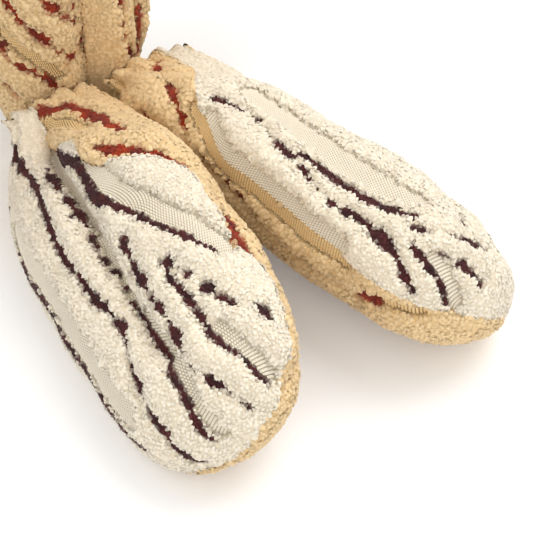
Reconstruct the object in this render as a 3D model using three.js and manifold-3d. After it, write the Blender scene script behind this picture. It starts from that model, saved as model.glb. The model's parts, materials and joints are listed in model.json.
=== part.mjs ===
// A plush squeaky dog toy that sits upright with its legs stretched out in front.
// Each stuffed form is sewn from pile fabric panels over a filling, and the torso holds a squeaker.
// Millimetres, +Z up. The toy faces -Y, and its left side is +X.
import * as THREE from "three";
import { mergeVertices } from "three/addons/utils/BufferGeometryUtils.js";
import Module from "manifold-3d";

const wasm = await Module();
wasm.setup();

// Fabric and fits
const FABRIC = 4.5; // backing cloth with its pile, as one layer
const PINCHED_FABRIC = 1.6; // the same layer where a seam pinches it
const SEAM_GAP = 0.4; // between two panels of one form
const FILL_GAP = 0.6; // between the torso's or head's panels and the filling under them
const LEG_FILL_GAP = 1.8; // the same in a leg, where the fabric turns more tightly
const ARM_FILL_GAP = 0.9; // the same in an arm
const SEWN_GAP = 0.4; // between a form and what it is sewn to
const FILLING_FOLD = 1.6; // how much deeper than the fabric its filling is folded
const FLOOR_CUT = 0.5; // flat that a resting form gets from the table

// Torso
const TORSO_HEIGHT = 122;
const NECK_RISE = 15; // how much higher its round would go, if the head did not sit in it
const BELLY_HEIGHT = 42;
const BELLY_HALF_WIDTH = 29.5;
const BELLY_HALF_DEPTH = 25;
const BELLY_SQUARENESS = 2.7; // power of its oval plan, where 2 is an ellipse
const ROUND_POWER = 2.4; // how full the round ends of the torso and head are
const SHOULDER_POWER = 0.47; // how round the torso narrows upwards
const SEAT_POWER = 0.42; // how round it narrows downwards
const SEAT_SHARE = 0.86; // how far down its round the belly goes before the flat seat
const CLEFT = 0.13; // share of its radius that the centre front seam draws in
const CLEFT_SPREAD = 9; // degrees
const SIDE_SEAM = 8; // degrees in front of the torso's side

// Legs
const LEG_LENGTH = 141.5;
const LEG_HALF_WIDTH = 29.5;
const LEG_HALF_DEPTH = 20.5;
const LEG_TOE_LENGTH = 27;
const LEG_FLARE = 46; // length over which the pinched hip swells to the full leg
const HIP_HALF_WIDTH = 14.5;
const HIP_HALF_DEPTH = 5;
const HIP_HEIGHT = 25;
const HIP_OFFSET = 17.5; // each side of the middle
const HIP_REACH = 60; // degrees each side of the front that the hip seam may lie against
const LEG_SPLAY = 19; // how far the toe lies outside the hip
const LEG_CURVE = 2.4; // power with which the splay dies out towards the toe
const LEG_ROLL = 40; // degrees that the inner edge is rolled up
// The inner seam of each leg slants over its top from one bearing to another, in degrees round the leg
// from its inner edge, between two distances from the hip.
const RIGHT_LEG_SEAM = { from: 3, to: 80, start: 118, end: 14 };
const LEFT_LEG_SEAM = { from: -6, to: 54, start: 108, end: -10 };
// Folds of the legs' cream panels: millimetres from the hip and degrees round the leg.
const RIGHT_LEG_FOLDS = [
  { depth: 5.2, halfWidth: 5.5, path: [[14, 102], [30, 88], [62, 82]] },
  { depth: 3.4, halfWidth: 4.5, path: [[62, 82], [94, 86], [112, 89]] },
  { depth: 2.6, halfWidth: 4.5, path: [[44, 66], [66, 50], [90, 27]] },
  { depth: 2.6, halfWidth: 4.5, path: [[44, 124], [96, 128], [112, 141]] },
];
const LEFT_LEG_FOLDS = [
  { depth: 3.2, halfWidth: 5, path: [[52, 34], [88, 37], [105, 43], [116, 60]] },
  { depth: 2.6, halfWidth: 4.5, path: [[44, 118], [80, 97], [116, 99]] },
];
// Where a leg is fuller or slimmer than an oval: how much at a bearing in degrees, and between which
// distances from the hip it comes and goes.
const RIGHT_LEG_SWELLS = [{ grow: 5, bearing: 0, from: 30, full: 60, fade: 88, to: 122 }];
const LEFT_LEG_SWELLS = [
  { grow: -5, bearing: 125, from: 8, full: 35, fade: 55, to: 95 },
  { grow: 4.5, bearing: -65, from: 34, full: 62, fade: 88, to: 122 },
];

// Arms
const ARM_LENGTH = 88;
const ARM_HALF_WIDTH = 18;
const ARM_HALF_DEPTH = 14;
const ARM_HAND_LENGTH = 22;
const ARM_FLARE = 34;
const SHOULDER_HALF_WIDTH = 8;
const SHOULDER_HALF_DEPTH = 4;
const SHOULDER_HEIGHT = 96;
const SHOULDER_DROP = 24; // degrees below level at the seam
const ARM_DROP = 42; // degrees below level past the bend

// Head
const HEAD_HEIGHT = 70;
const HEAD_WIDEST = 0.45; // share of its height
const HEAD_POWER = 0.5;
const HEAD_HALF_WIDTH = 37;
const HEAD_HALF_DEPTH = 34;
const NOD_HEIGHT = 38; // of the nodding axis over the chin
const NOD_RANGE = 20; // degrees each way
const FACE_SEAM = 48; // degrees each side of the front
const REAR_SEAM = 40; // degrees behind the side
const MUZZLE_HALF_WIDTH = 19;
const MUZZLE_HALF_HEIGHT = 14;
const MUZZLE_REACH = 15; // in front of the face
const MUZZLE_HEIGHT = 26; // over the chin
const NOSE_HALF_WIDTH = 7;
const NOSE_HALF_HEIGHT = 5;
const NOSE_REACH = 4;
const NOSE_RISE = 6; // over the muzzle's middle
const NOSE_FORWARD = 0.86; // share of the muzzle's reach at which the nose sits
const EYE_RADIUS = 4.5;
const EYE_REACH = 2.2;
const EYE_HEIGHT = 44;
const EYE_BEARING = 24; // degrees each side of the face's middle

// Ears
const EAR_LENGTH = 62;
const EAR_HALF_WIDTH = 19;
const EAR_HALF_DEPTH = 5;
const EAR_TIP_LENGTH = 22;
const EAR_FLARE = 30;
const EAR_ROOT_HALF_WIDTH = 11;
const EAR_ROOT_HALF_DEPTH = 2.5;
const EAR_HEIGHT = 52;
const EAR_ROOT_DROP = 18; // degrees below level
const EAR_DROP = 84; // degrees below level

// Squeaker
const SQUEAKER_RADIUS = 15;
const SQUEAKER_HEIGHT = 26;
const SQUEAKER_BASE = 40;
const PLEATS = 3;
const PLEAT_DEPTH = 3;
const BELLOWS_WALL = 1.2;
const WHISTLE_RADIUS = 5;
const WHISTLE_LENGTH = 9;
const WHISTLE_FLANGE = 8;
const WHISTLE_FLANGE_HEIGHT = 2.4;
const REED_WIDTH = 3.6;
const REED_THICKNESS = 0.5;
const REED_LENGTH = 8;
const PLUG_GAP = 0.3; // round the whistle, round the reed and under the bellows
const POCKET_GAP = 0.8; // round the bellows' folds

// Facets along and round a form
const LEG_ROWS = 20;
const LEG_COLUMNS = 20; // enough for the folds
const LEG_TAN_COLUMNS = 11; // more, because this panel also goes over the top at the hip
const ARM_ROWS = 10;
const ARM_COLUMNS = 6;
const BODY_ROWS = 12;
const BODY_COLUMNS = 6;
const BACK_COLUMNS = 9;
const CHEEK_COLUMNS = 5;
const UPPER_ROWS = 0.5; // share of an egg's rows over its widest height
const LOWER_ROWS = 0.42; // share below it, and the rest go to the flat bottom
const EAR_ROWS = 8;
const EAR_COLUMNS = 5;
const FILLING_SPARED = 4; // rows and columns fewer in a limb's filling than in its panels
const NOD_STEP = 10; // degrees between the places of the head that the torso makes room for
const LATHE_SIDES = 20;
const MUZZLE_SIDES = 18;
const NOSE_SIDES = 14;
const EYE_SIDES = 12;
const PAD_FLATTENING = 1.6; // sides of an oval pad to each of its rows

const rad = THREE.MathUtils.degToRad;
const { clamp, lerp, smoothstep } = THREE.MathUtils;

const finish = (color, roughness) => new THREE.MeshStandardMaterial({ color, roughness, metalness: 0 });
const fabric = (color) => finish(color, 0.95);
const CREAM = fabric(0xe9e2d0);
const TAN = fabric(0xd3b483);
const WADDING = fabric(0xf2f0ea);
const STITCHING = fabric(0x33231d);
const SQUEAKER_PLASTIC = finish(0xf4f2ec, 0.45);
const REED_PLASTIC = finish(0xc23b2e, 0.4);

// Joins loose triangles into one geometry with its faces turned outwards.
class Skin {
  constructor() {
    this.corners = [];
  }

  triangle(a, b, c) {
    const across = new THREE.Vector3().subVectors(b, a).cross(new THREE.Vector3().subVectors(c, a));
    if (across.lengthSq() > 1e-12) this.corners.push(a, b, c);
  }

  quad(a, b, c, d) {
    this.triangle(a, b, c);
    this.triangle(a, c, d);
  }

  volume() {
    let sum = 0;
    for (let i = 0; i < this.corners.length; i += 3) {
      const [a, b, c] = this.corners.slice(i, i + 3);
      sum += a.dot(new THREE.Vector3().crossVectors(b, c));
    }
    return sum / 6;
  }

  geometry() {
    if (this.volume() < 0) this.corners.reverse();
    return new THREE.BufferGeometry().setFromPoints(this.corners);
  }
}

// One panel of a form, as thick as its fabric: the strip between two bearings, which may change along it.
// point(u, bearing, layer) gives a place on the form, with u from root to tip and the layers of depthOf.
function panel(point, rows, columns, from, to) {
  const skin = new Skin();
  const place = (i, j, layer) => {
    const u = i / rows;
    return point(u, lerp(from(u), to(u), j / columns), layer);
  };
  const outer = (i, j) => place(i, j, 0);
  const inner = (i, j) => place(i, j, 1);
  for (let i = 0; i < rows; i++) {
    for (let j = 0; j < columns; j++) {
      skin.quad(outer(i, j), outer(i, j + 1), outer(i + 1, j + 1), outer(i + 1, j));
      skin.quad(inner(i, j), inner(i + 1, j), inner(i + 1, j + 1), inner(i, j + 1));
    }
    skin.quad(outer(i, 0), outer(i + 1, 0), inner(i + 1, 0), inner(i, 0));
    skin.quad(outer(i, columns), inner(i, columns), inner(i + 1, columns), outer(i + 1, columns));
  }
  for (let j = 0; j < columns; j++) {
    skin.quad(outer(0, j), inner(0, j), inner(0, j + 1), outer(0, j + 1));
    skin.quad(outer(rows, j), outer(rows, j + 1), inner(rows, j + 1), inner(rows, j));
  }
  return skin.geometry();
}

// A closed solid under the surface of a form, with a flat fan over each end that is not a point.
function core(point, rows, columns, depth) {
  const skin = new Skin();
  const turn = 2 * Math.PI;
  const rings = [];
  for (let i = 0; i <= rows; i++) {
    const ring = [];
    for (let j = 0; j < columns; j++) ring.push(point(i / rows, (turn * j) / columns, depth));
    rings.push(ring);
  }
  for (let i = 0; i < rows; i++) {
    for (let j = 0; j < columns; j++) {
      const next = (j + 1) % columns;
      skin.quad(rings[i][j], rings[i][next], rings[i + 1][next], rings[i + 1][j]);
    }
  }
  for (const [ring, forward] of [[rings[0], false], [rings[rows], true]]) {
    const middle = ring.reduce((sum, p) => sum.add(p), new THREE.Vector3()).divideScalar(columns);
    for (let j = 0; j < columns; j++) {
      const pair = [ring[j], ring[(j + 1) % columns]];
      if (!forward) pair.reverse();
      skin.triangle(middle, ...pair);
    }
  }
  return skin.geometry();
}

function solid(geometry) {
  const bare = new THREE.BufferGeometry().setAttribute("position", geometry.getAttribute("position"));
  if (geometry.index) bare.setIndex(geometry.index);
  const merged = mergeVertices(bare, 1e-4);
  const vertProperties = merged.getAttribute("position").array;
  const triVerts = new Uint32Array(merged.index.array);
  return new wasm.Manifold(new wasm.Mesh({ numProp: 3, vertProperties, triVerts }));
}

function geometryOf(made) {
  const { vertProperties, triVerts } = made.getMesh();
  const geometry = new THREE.BufferGeometry();
  geometry.setAttribute("position", new THREE.BufferAttribute(vertProperties, 3));
  geometry.setIndex(new THREE.BufferAttribute(triVerts, 1));
  return geometry;
}

const cut = (geometry, tool) => geometryOf(solid(geometry).subtract(solid(tool)));

const toy = new THREE.Group();

function add(name, geometry, material) {
  const mesh = new THREE.Mesh(geometry, material);
  mesh.name = name;
  toy.add(mesh);
  return mesh;
}

const FRONT = -Math.PI / 2;

// One coordinate of an oval whose power squares it up.
const oval = (part, power) => Math.sign(part) * Math.abs(part) ** (2 / power);

const swell = (share) => Math.sin((Math.min(share, 1) * Math.PI) / 2);

// Depth under the surface of layer 0 (fabric face), 1 (fabric back) or 2 (filling, a gap under the fabric).
const depthOf = (layer, thickness, gap) => [0, thickness, thickness + gap][layer];

// An egg shape between two heights: its half sizes grow with round ends, and the lower end may be cut flat.
function egg(shape) {
  const { bottom, widest, top, halfWidth, halfDepth } = shape;
  const { lowerShare, upperPower, lowerPower, cleft, plan } = shape;
  const shareAt = (z, inset) => {
    if (z >= widest) {
      const w = (z - widest) / (top - inset - widest);
      return Math.max(1 - w ** ROUND_POWER, 0) ** upperPower;
    }
    const w = (lowerShare * (widest - z)) / (widest - bottom - inset);
    return Math.max(1 - w ** ROUND_POWER, 0) ** lowerPower;
  };
  const heightAt = (u, inset) => {
    if (u < UPPER_ROWS) return lerp(top - inset, widest, 1 - Math.cos((u / UPPER_ROWS) * (Math.PI / 2)));
    return lerp(widest, bottom + inset, swell((u - UPPER_ROWS) / LOWER_ROWS));
  };
  const surface = (z, bearing, inset, share) => {
    const offFront = Math.acos(-Math.sin(bearing));
    const drawn = share * (1 - cleft * Math.exp(-((offFront / rad(CLEFT_SPREAD)) ** 2)));
    const x = (halfWidth - inset) * drawn * oval(Math.cos(bearing), plan);
    const y = (halfDepth - inset) * drawn * oval(Math.sin(bearing), plan);
    return new THREE.Vector3(x, y, z);
  };
  const point = (u, bearing, inset) => {
    const z = heightAt(u, inset);
    const pole = u === 0 || u === 1;
    return surface(z, bearing, inset, pole ? 0 : shareAt(z, inset));
  };
  // A place on the surface and its outward normal.
  const seat = (z, bearing) => {
    const at = (dz, db) => surface(z + dz, bearing + db, 0, shareAt(z + dz, 0));
    const step = 0.01; // millimetres up, and radians round
    const up = at(step, 0).sub(at(-step, 0));
    const round = at(0, step).sub(at(0, -step));
    return { place: at(0, 0), normal: round.cross(up).normalize() };
  };
  return { point, seat };
}

// The middle of a rounded seam that lies against a form, a sewn gap away from it.
function sewnOn(form, height, bearing, seamRadius) {
  const { place, normal } = form.seat(height, bearing);
  return place.addScaledVector(normal, seamRadius + SEWN_GAP);
}

// Panels of an egg, each drawn out of the form's middle by half a seam gap and fitted to its neighbours.
function eggPanels(form, parts, fitted = (geometry) => geometry) {
  for (const [name, from, to, columns, material] of parts) {
    const middle = (from + to) / 2;
    const out = new THREE.Vector3(Math.cos(middle), Math.sin(middle), 0).multiplyScalar(SEAM_GAP);
    const point = (u, bearing, layer) => form.point(u, bearing, depthOf(layer, FABRIC, FILL_GAP)).add(out);
    add(name, fitted(panel(point, BODY_ROWS, columns, () => from, () => to)), material);
  }
}

const torso = egg({
  bottom: 0,
  widest: BELLY_HEIGHT,
  top: TORSO_HEIGHT + NECK_RISE,
  halfWidth: BELLY_HALF_WIDTH,
  halfDepth: BELLY_HALF_DEPTH,
  lowerShare: SEAT_SHARE,
  upperPower: SHOULDER_POWER,
  lowerPower: SEAT_POWER,
  cleft: CLEFT,
  plan: BELLY_SQUARENESS,
});

const headBase = TORSO_HEIGHT + SEWN_GAP;
const head = egg({
  bottom: headBase,
  widest: headBase + HEAD_HEIGHT * HEAD_WIDEST,
  top: headBase + HEAD_HEIGHT,
  halfWidth: HEAD_HALF_WIDTH,
  halfDepth: HEAD_HALF_DEPTH,
  lowerShare: 1,
  upperPower: HEAD_POWER,
  lowerPower: HEAD_POWER,
  cleft: 0,
  plan: 2,
});

// The room that the head takes up as it nods, with a gap round it.
function nodRoom(gap) {
  const grown = (u, bearing) => head.point(u, bearing, -gap);
  const still = solid(core(grown, 2 * BODY_ROWS, 6 * BODY_COLUMNS, 0));
  const pivot = headBase + NOD_HEIGHT;
  const places = [];
  for (let degrees = -NOD_RANGE; degrees <= NOD_RANGE; degrees += NOD_STEP) {
    places.push(still.translate([0, 0, -pivot]).rotate([degrees, 0, 0]).translate([0, 0, pivot]));
  }
  return geometryOf(wasm.Manifold.union(places));
}

function buildTorso() {
  const side = rad(-SIDE_SEAM);
  const neck = nodRoom(SEWN_GAP);
  const parts = [
    ["belly_panel_left", FRONT, side, BODY_COLUMNS, TAN],
    ["belly_panel_right", -Math.PI - side, FRONT, BODY_COLUMNS, TAN],
    ["back_panel", side, Math.PI - side, BACK_COLUMNS, CREAM],
  ];
  eggPanels(torso, parts, (geometry) => cut(geometry, neck));
  const whole = core(torso.point, BODY_ROWS, 2 * BODY_COLUMNS, depthOf(2, FABRIC, FILL_GAP));
  const filling = cut(whole, neck);
  const pocket = new THREE.CylinderGeometry(
    SQUEAKER_RADIUS + POCKET_GAP,
    SQUEAKER_RADIUS + POCKET_GAP,
    SQUEAKER_HEIGHT + WHISTLE_FLANGE_HEIGHT + 3 * PLUG_GAP,
    LATHE_SIDES,
  );
  pocket.rotateX(Math.PI / 2);
  pocket.computeBoundingBox();
  pocket.translate(0, 0, SQUEAKER_BASE - PLUG_GAP - pocket.boundingBox.min.z);
  const hollow = cut(filling, pocket);
  for (const [name, facing] of [["filling_front", -1], ["filling_back", 1]]) {
    const half = new THREE.BoxGeometry(4 * BELLY_HALF_WIDTH, 4 * BELLY_HALF_DEPTH, 2 * TORSO_HEIGHT);
    half.translate(0, -facing * (2 * BELLY_HALF_DEPTH - FILL_GAP / 2), TORSO_HEIGHT / 2);
    add(name, cut(hollow, half), WADDING);
  }
}

// The bellows, the whistle plug in its top and the reed in the plug's slot.
function buildSqueaker() {
  const top = SQUEAKER_BASE + SQUEAKER_HEIGHT;
  const outline = [new THREE.Vector2(0, SQUEAKER_BASE)];
  const fold = SQUEAKER_HEIGHT / PLEATS;
  for (let i = 0; i < PLEATS; i++) {
    const z = SQUEAKER_BASE + i * fold;
    outline.push(new THREE.Vector2(SQUEAKER_RADIUS - PLEAT_DEPTH, z));
    outline.push(new THREE.Vector2(SQUEAKER_RADIUS, z + fold / 2));
  }
  outline.push(new THREE.Vector2(SQUEAKER_RADIUS - PLEAT_DEPTH, top));
  outline.push(new THREE.Vector2(WHISTLE_RADIUS + PLUG_GAP, top));
  const within = outline.slice(1, -1).map((p) => new THREE.Vector2(p.x - BELLOWS_WALL, p.y));
  within[0].y += BELLOWS_WALL;
  within[within.length - 1].y -= BELLOWS_WALL;
  outline.push(new THREE.Vector2(WHISTLE_RADIUS + PLUG_GAP, top - BELLOWS_WALL));
  outline.push(...within.reverse(), new THREE.Vector2(0, SQUEAKER_BASE + BELLOWS_WALL));
  const upright = (geometry) => geometry.rotateX(Math.PI / 2);
  add("squeaker_bellows", upright(new THREE.LatheGeometry(outline, LATHE_SIDES)), SQUEAKER_PLASTIC);

  const seat = top + PLUG_GAP;
  const stem = [
    [0, seat + WHISTLE_FLANGE_HEIGHT],
    [0, seat + WHISTLE_FLANGE_HEIGHT - WHISTLE_LENGTH],
    [WHISTLE_RADIUS, seat + WHISTLE_FLANGE_HEIGHT - WHISTLE_LENGTH],
    [WHISTLE_RADIUS, seat],
    [WHISTLE_FLANGE, seat],
    [WHISTLE_FLANGE, seat + WHISTLE_FLANGE_HEIGHT],
  ].map(([r, z]) => new THREE.Vector2(r, z));
  const plug = upright(new THREE.LatheGeometry([...stem, stem[0]], LATHE_SIDES));
  const slot = new THREE.BoxGeometry(
    REED_WIDTH + 2 * PLUG_GAP,
    REED_THICKNESS + 2 * PLUG_GAP,
    2 * WHISTLE_LENGTH,
  );
  const middle = seat + WHISTLE_FLANGE_HEIGHT - WHISTLE_LENGTH / 2;
  slot.translate(0, 0, middle);
  add("whistle_plug", cut(plug, slot), SQUEAKER_PLASTIC);
  const reed = new THREE.BoxGeometry(REED_WIDTH, REED_THICKNESS, REED_LENGTH);
  reed.translate(0, 0, middle);
  add("whistle_reed", reed, REED_PLASTIC);
}

// Shares of a limb's rings at which its root seam ends, its round tip starts and its filling starts.
const ROOT_END = 0.12;
const ROOT_ROUND = rad(70); // how far the root seam is rounded over before its open end
const TIP_START = 0.72;
const FILLING_START = 0.22;

// How far along the straight part of a limb the ring at u lies.
const alongLimb = (u, straight) => straight * clamp((u - ROOT_END) / (TIP_START - ROOT_END), 0, 1);

// A limb: oval rings along a spine that starts at a rounded, pinched seam and ends in a round tip.
// spine(s) gives a ring's middle, and turn(s) its two axes: the one along the seam and the one across.
// fold(s, bearing) gives how far a fold draws the fabric in, and full(s, bearing) how much fuller it is.
function limb({ length, tip, flare, half, rootHalf, fillGap, spine, turn, floor, fold, full }) {
  const ringAt = (u) => {
    const s = alongLimb(u, length - tip);
    if (u < ROOT_END) {
      const angle = (1 - u / ROOT_END) * ROOT_ROUND;
      return { s, over: 0, back: Math.sin(angle), width: 1, depth: Math.cos(angle) };
    }
    if (u < TIP_START) return { s, over: 0, back: 0, width: 1, depth: 1 };
    const angle = (((u - TIP_START) / (1 - TIP_START)) * Math.PI) / 2;
    return { s, over: Math.sin(angle), back: 0, width: Math.cos(angle), depth: Math.cos(angle) };
  };
  return (u, bearing, layer, shift) => {
    const { s, over, back, width, depth } = ringAt(u);
    const grown = swell(s / flare);
    const inset = depthOf(layer, lerp(PINCHED_FABRIC, FABRIC, grown), fillGap);
    const reach = s + over * tip;
    const folded = fold ? fold(reach, bearing) * (layer === 2 ? FILLING_FOLD : 1) : 0;
    const drawn = inset + folded - (full ? full(reach, bearing) : 0);
    const a = (lerp(rootHalf.width, half.width, grown) - drawn) * width;
    const b = (lerp(rootHalf.depth, half.depth, grown) - drawn) * depth;
    const along = s + over * (tip - inset) - back * (rootHalf.depth - inset);
    const { seam, face } = turn(s);
    const place = spine(along, s).add(shift);
    place.addScaledVector(seam, a * Math.cos(bearing)).addScaledVector(face, b * Math.sin(bearing));
    if (floor !== undefined) place.z = Math.max(place.z, floor + inset);
    return place;
  };
}

// The two panels of a limb, a seam gap apart, and the filling between them.
// innerSeam(u) and outerSeam are the bearings of the seams, and halfSeam is half the gap as an angle.
function sewLimb(name, point, rows, [columns, tanColumns], seams) {
  const { innerSeam, outerSeam, halfSeam, face, filled } = seams;
  const turn = 2 * Math.PI;
  const sides = [
    ["cream_panel", columns, (u) => innerSeam(u) + halfSeam, () => outerSeam - halfSeam, 1, CREAM],
    ["tan_panel", tanColumns, () => outerSeam + halfSeam, (u) => innerSeam(u) + turn - halfSeam, -1, TAN],
  ];
  for (const [panelName, across, from, to, facing, material] of sides) {
    const shift = face.clone().multiplyScalar((facing * SEAM_GAP) / 2);
    const shifted = (u, bearing, layer) => point(u, bearing, layer, shift);
    add(`${name}_${panelName}`, panel(shifted, rows, across, from, to), material);
  }
  if (!filled) return;
  const unmoved = new THREE.Vector3();
  const inside = (u, bearing, layer) => point(lerp(FILLING_START, 1, u), bearing, layer, unmoved);
  add(`${name}_filling`, core(inside, rows - FILLING_SPARED, 2 * columns - FILLING_SPARED, 2), WADDING);
}

// The hip seam runs along X, against the foremost point of the belly at its height.
function hipSeam(side) {
  let foremost = torso.seat(HIP_HEIGHT, FRONT);
  for (let degrees = 1; degrees < HIP_REACH; degrees++) {
    const seat = torso.seat(HIP_HEIGHT, FRONT + rad(degrees));
    if (seat.place.y < foremost.place.y) foremost = seat;
  }
  const off = foremost.normal.setX(0).normalize().multiplyScalar(HIP_HALF_DEPTH + SEWN_GAP);
  return new THREE.Vector3(side * HIP_OFFSET, foremost.place.y + off.y, HIP_HEIGHT + off.z);
}

// How far a leg's folds draw in the fabric at a place. Each has a path of [distance, bearing] pairs.
function foldDepth(folds, s, bearing) {
  const scale = rad(1) * (LEG_HALF_WIDTH - FABRIC);
  const round = THREE.MathUtils.euclideanModulo(THREE.MathUtils.radToDeg(bearing), 360);
  const place = new THREE.Vector3(s, round * scale, 0);
  let deepest = 0;
  for (const { depth, halfWidth, path } of folds) {
    const knots = path.map(([along, degrees]) => new THREE.Vector3(along, degrees * scale, 0));
    for (let i = 1; i < knots.length; i++) {
      const nearest = new THREE.Vector3();
      new THREE.Line3(knots[i - 1], knots[i]).closestPointToPoint(place, true, nearest);
      const away = nearest.distanceTo(place) / halfWidth;
      deepest = Math.max(deepest, depth * Math.exp(-away * away));
    }
  }
  return deepest;
}

// How much fuller a leg is at a place than its oval rings.
function fullness(swells, s, bearing) {
  let total = 0;
  for (const swelling of swells) {
    const facing = Math.max(Math.cos(bearing - rad(swelling.bearing)), 0);
    const come = smoothstep(s, swelling.from, swelling.full);
    const gone = smoothstep(s, swelling.fade, swelling.to);
    total += swelling.grow * facing * come * (1 - gone);
  }
  return total;
}

function buildLeg(name, side, slant, folds, swells) {
  const hip = hipSeam(side);
  const roll = (s) => rad(LEG_ROLL) * swell(s / LEG_FLARE);
  const turn = (s) => {
    const angle = roll(s);
    return {
      seam: new THREE.Vector3(-side * Math.cos(angle), 0, Math.sin(angle)),
      face: new THREE.Vector3(side * Math.sin(angle), 0, Math.cos(angle)),
    };
  };
  // The height at which a rolled ring just lies on the table.
  const lying = (s) => {
    const grown = swell(s / LEG_FLARE);
    const tall = lerp(HIP_HALF_WIDTH, LEG_HALF_WIDTH, grown) * Math.sin(roll(s));
    const flat = lerp(HIP_HALF_DEPTH, LEG_HALF_DEPTH, grown) * Math.cos(roll(s));
    return Math.hypot(tall, flat) - FLOOR_CUT;
  };
  const spine = (along, s) => {
    const splay = LEG_SPLAY * (1 - (1 - Math.max(along, 0) / LEG_LENGTH) ** LEG_CURVE);
    const z = lerp(hip.z, lying(s), swell(s / LEG_FLARE) ** 2);
    return new THREE.Vector3(hip.x + side * splay, hip.y - along, z);
  };
  const point = limb({
    length: LEG_LENGTH,
    tip: LEG_TOE_LENGTH,
    flare: LEG_FLARE,
    half: { width: LEG_HALF_WIDTH, depth: LEG_HALF_DEPTH },
    rootHalf: { width: HIP_HALF_WIDTH, depth: HIP_HALF_DEPTH },
    fillGap: LEG_FILL_GAP,
    spine,
    turn,
    floor: 0,
    fold: (s, bearing) => foldDepth(folds, s, bearing),
    full: (s, bearing) => fullness(swells, s, bearing),
  });
  const innerSeam = (u) => {
    const s = alongLimb(u, LEG_LENGTH - LEG_TOE_LENGTH);
    return rad(lerp(slant.start, slant.end, smoothstep(s, slant.from, slant.to)));
  };
  sewLimb(name, point, LEG_ROWS, [LEG_COLUMNS, LEG_TAN_COLUMNS], {
    innerSeam,
    outerSeam: Math.PI + rad(slant.end),
    halfSeam: SEAM_GAP / LEG_HALF_DEPTH,
    face: turn(LEG_LENGTH).face,
    filled: true,
  });
}

// An arm or an ear comes out of a seam along Y, bends over its flare and then hangs straight.
function hangingLimb(side, start, rootDrop, drop, sizes) {
  const bend = rad(drop - rootDrop);
  const radius = sizes.flare / bend;
  const dropAt = (s) => rad(rootDrop) + bend * clamp(s / sizes.flare, 0, 1);
  const out = (angle) => new THREE.Vector3(side * Math.cos(angle), 0, -Math.sin(angle));
  const faceAt = (angle) => new THREE.Vector3(side * Math.sin(angle), 0, Math.cos(angle));
  const spine = (along) => {
    const bent = clamp(along, 0, sizes.flare);
    const angle = dropAt(bent);
    const centre = start.clone().addScaledVector(faceAt(rad(rootDrop)), -radius);
    return centre.addScaledVector(faceAt(angle), radius).addScaledVector(out(angle), along - bent);
  };
  const seam = new THREE.Vector3(0, -side, 0);
  const point = limb({ ...sizes, spine, turn: (s) => ({ seam, face: faceAt(dropAt(s)) }) });
  return { point, face: faceAt(rad(drop)) };
}

function buildArm(name, side) {
  const shoulder = sewnOn(torso, SHOULDER_HEIGHT, side > 0 ? 0 : Math.PI, SHOULDER_HALF_DEPTH);
  const { point, face } = hangingLimb(side, shoulder, SHOULDER_DROP, ARM_DROP, {
    length: ARM_LENGTH,
    tip: ARM_HAND_LENGTH,
    flare: ARM_FLARE,
    half: { width: ARM_HALF_WIDTH, depth: ARM_HALF_DEPTH },
    rootHalf: { width: SHOULDER_HALF_WIDTH, depth: SHOULDER_HALF_DEPTH },
    fillGap: ARM_FILL_GAP,
  });
  sewLimb(name, point, ARM_ROWS, [ARM_COLUMNS, ARM_COLUMNS], {
    innerSeam: () => 0,
    outerSeam: Math.PI,
    halfSeam: SEAM_GAP / ARM_HALF_DEPTH,
    face,
    filled: true,
  });
}

function buildEar(name, side) {
  const root = sewnOn(head, headBase + EAR_HEIGHT, side > 0 ? 0 : Math.PI, EAR_ROOT_HALF_DEPTH);
  const { point, face } = hangingLimb(side, root, EAR_ROOT_DROP, EAR_DROP, {
    length: EAR_LENGTH,
    tip: EAR_TIP_LENGTH,
    flare: EAR_FLARE,
    half: { width: EAR_HALF_WIDTH, depth: EAR_HALF_DEPTH },
    rootHalf: { width: EAR_ROOT_HALF_WIDTH, depth: EAR_ROOT_HALF_DEPTH },
  });
  sewLimb(name, point, EAR_ROWS, [EAR_COLUMNS, EAR_COLUMNS], {
    innerSeam: () => 0,
    outerSeam: Math.PI,
    halfSeam: 0,
    face,
    filled: false,
  });
}

// An oval pad on a surface that stands out by reach. Its half sizes are across, out of the surface and up.
function pad({ place, normal }, [across, out, up], reach, sides) {
  const ball = new THREE.SphereGeometry(1, sides, Math.ceil(sides / PAD_FLATTENING));
  ball.scale(across, out, up);
  ball.applyQuaternion(new THREE.Quaternion().setFromUnitVectors(new THREE.Vector3(0, -1, 0), normal));
  const sunk = place.clone().addScaledVector(normal, reach - out);
  return ball.translate(sunk.x, sunk.y, sunk.z);
}

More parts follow.
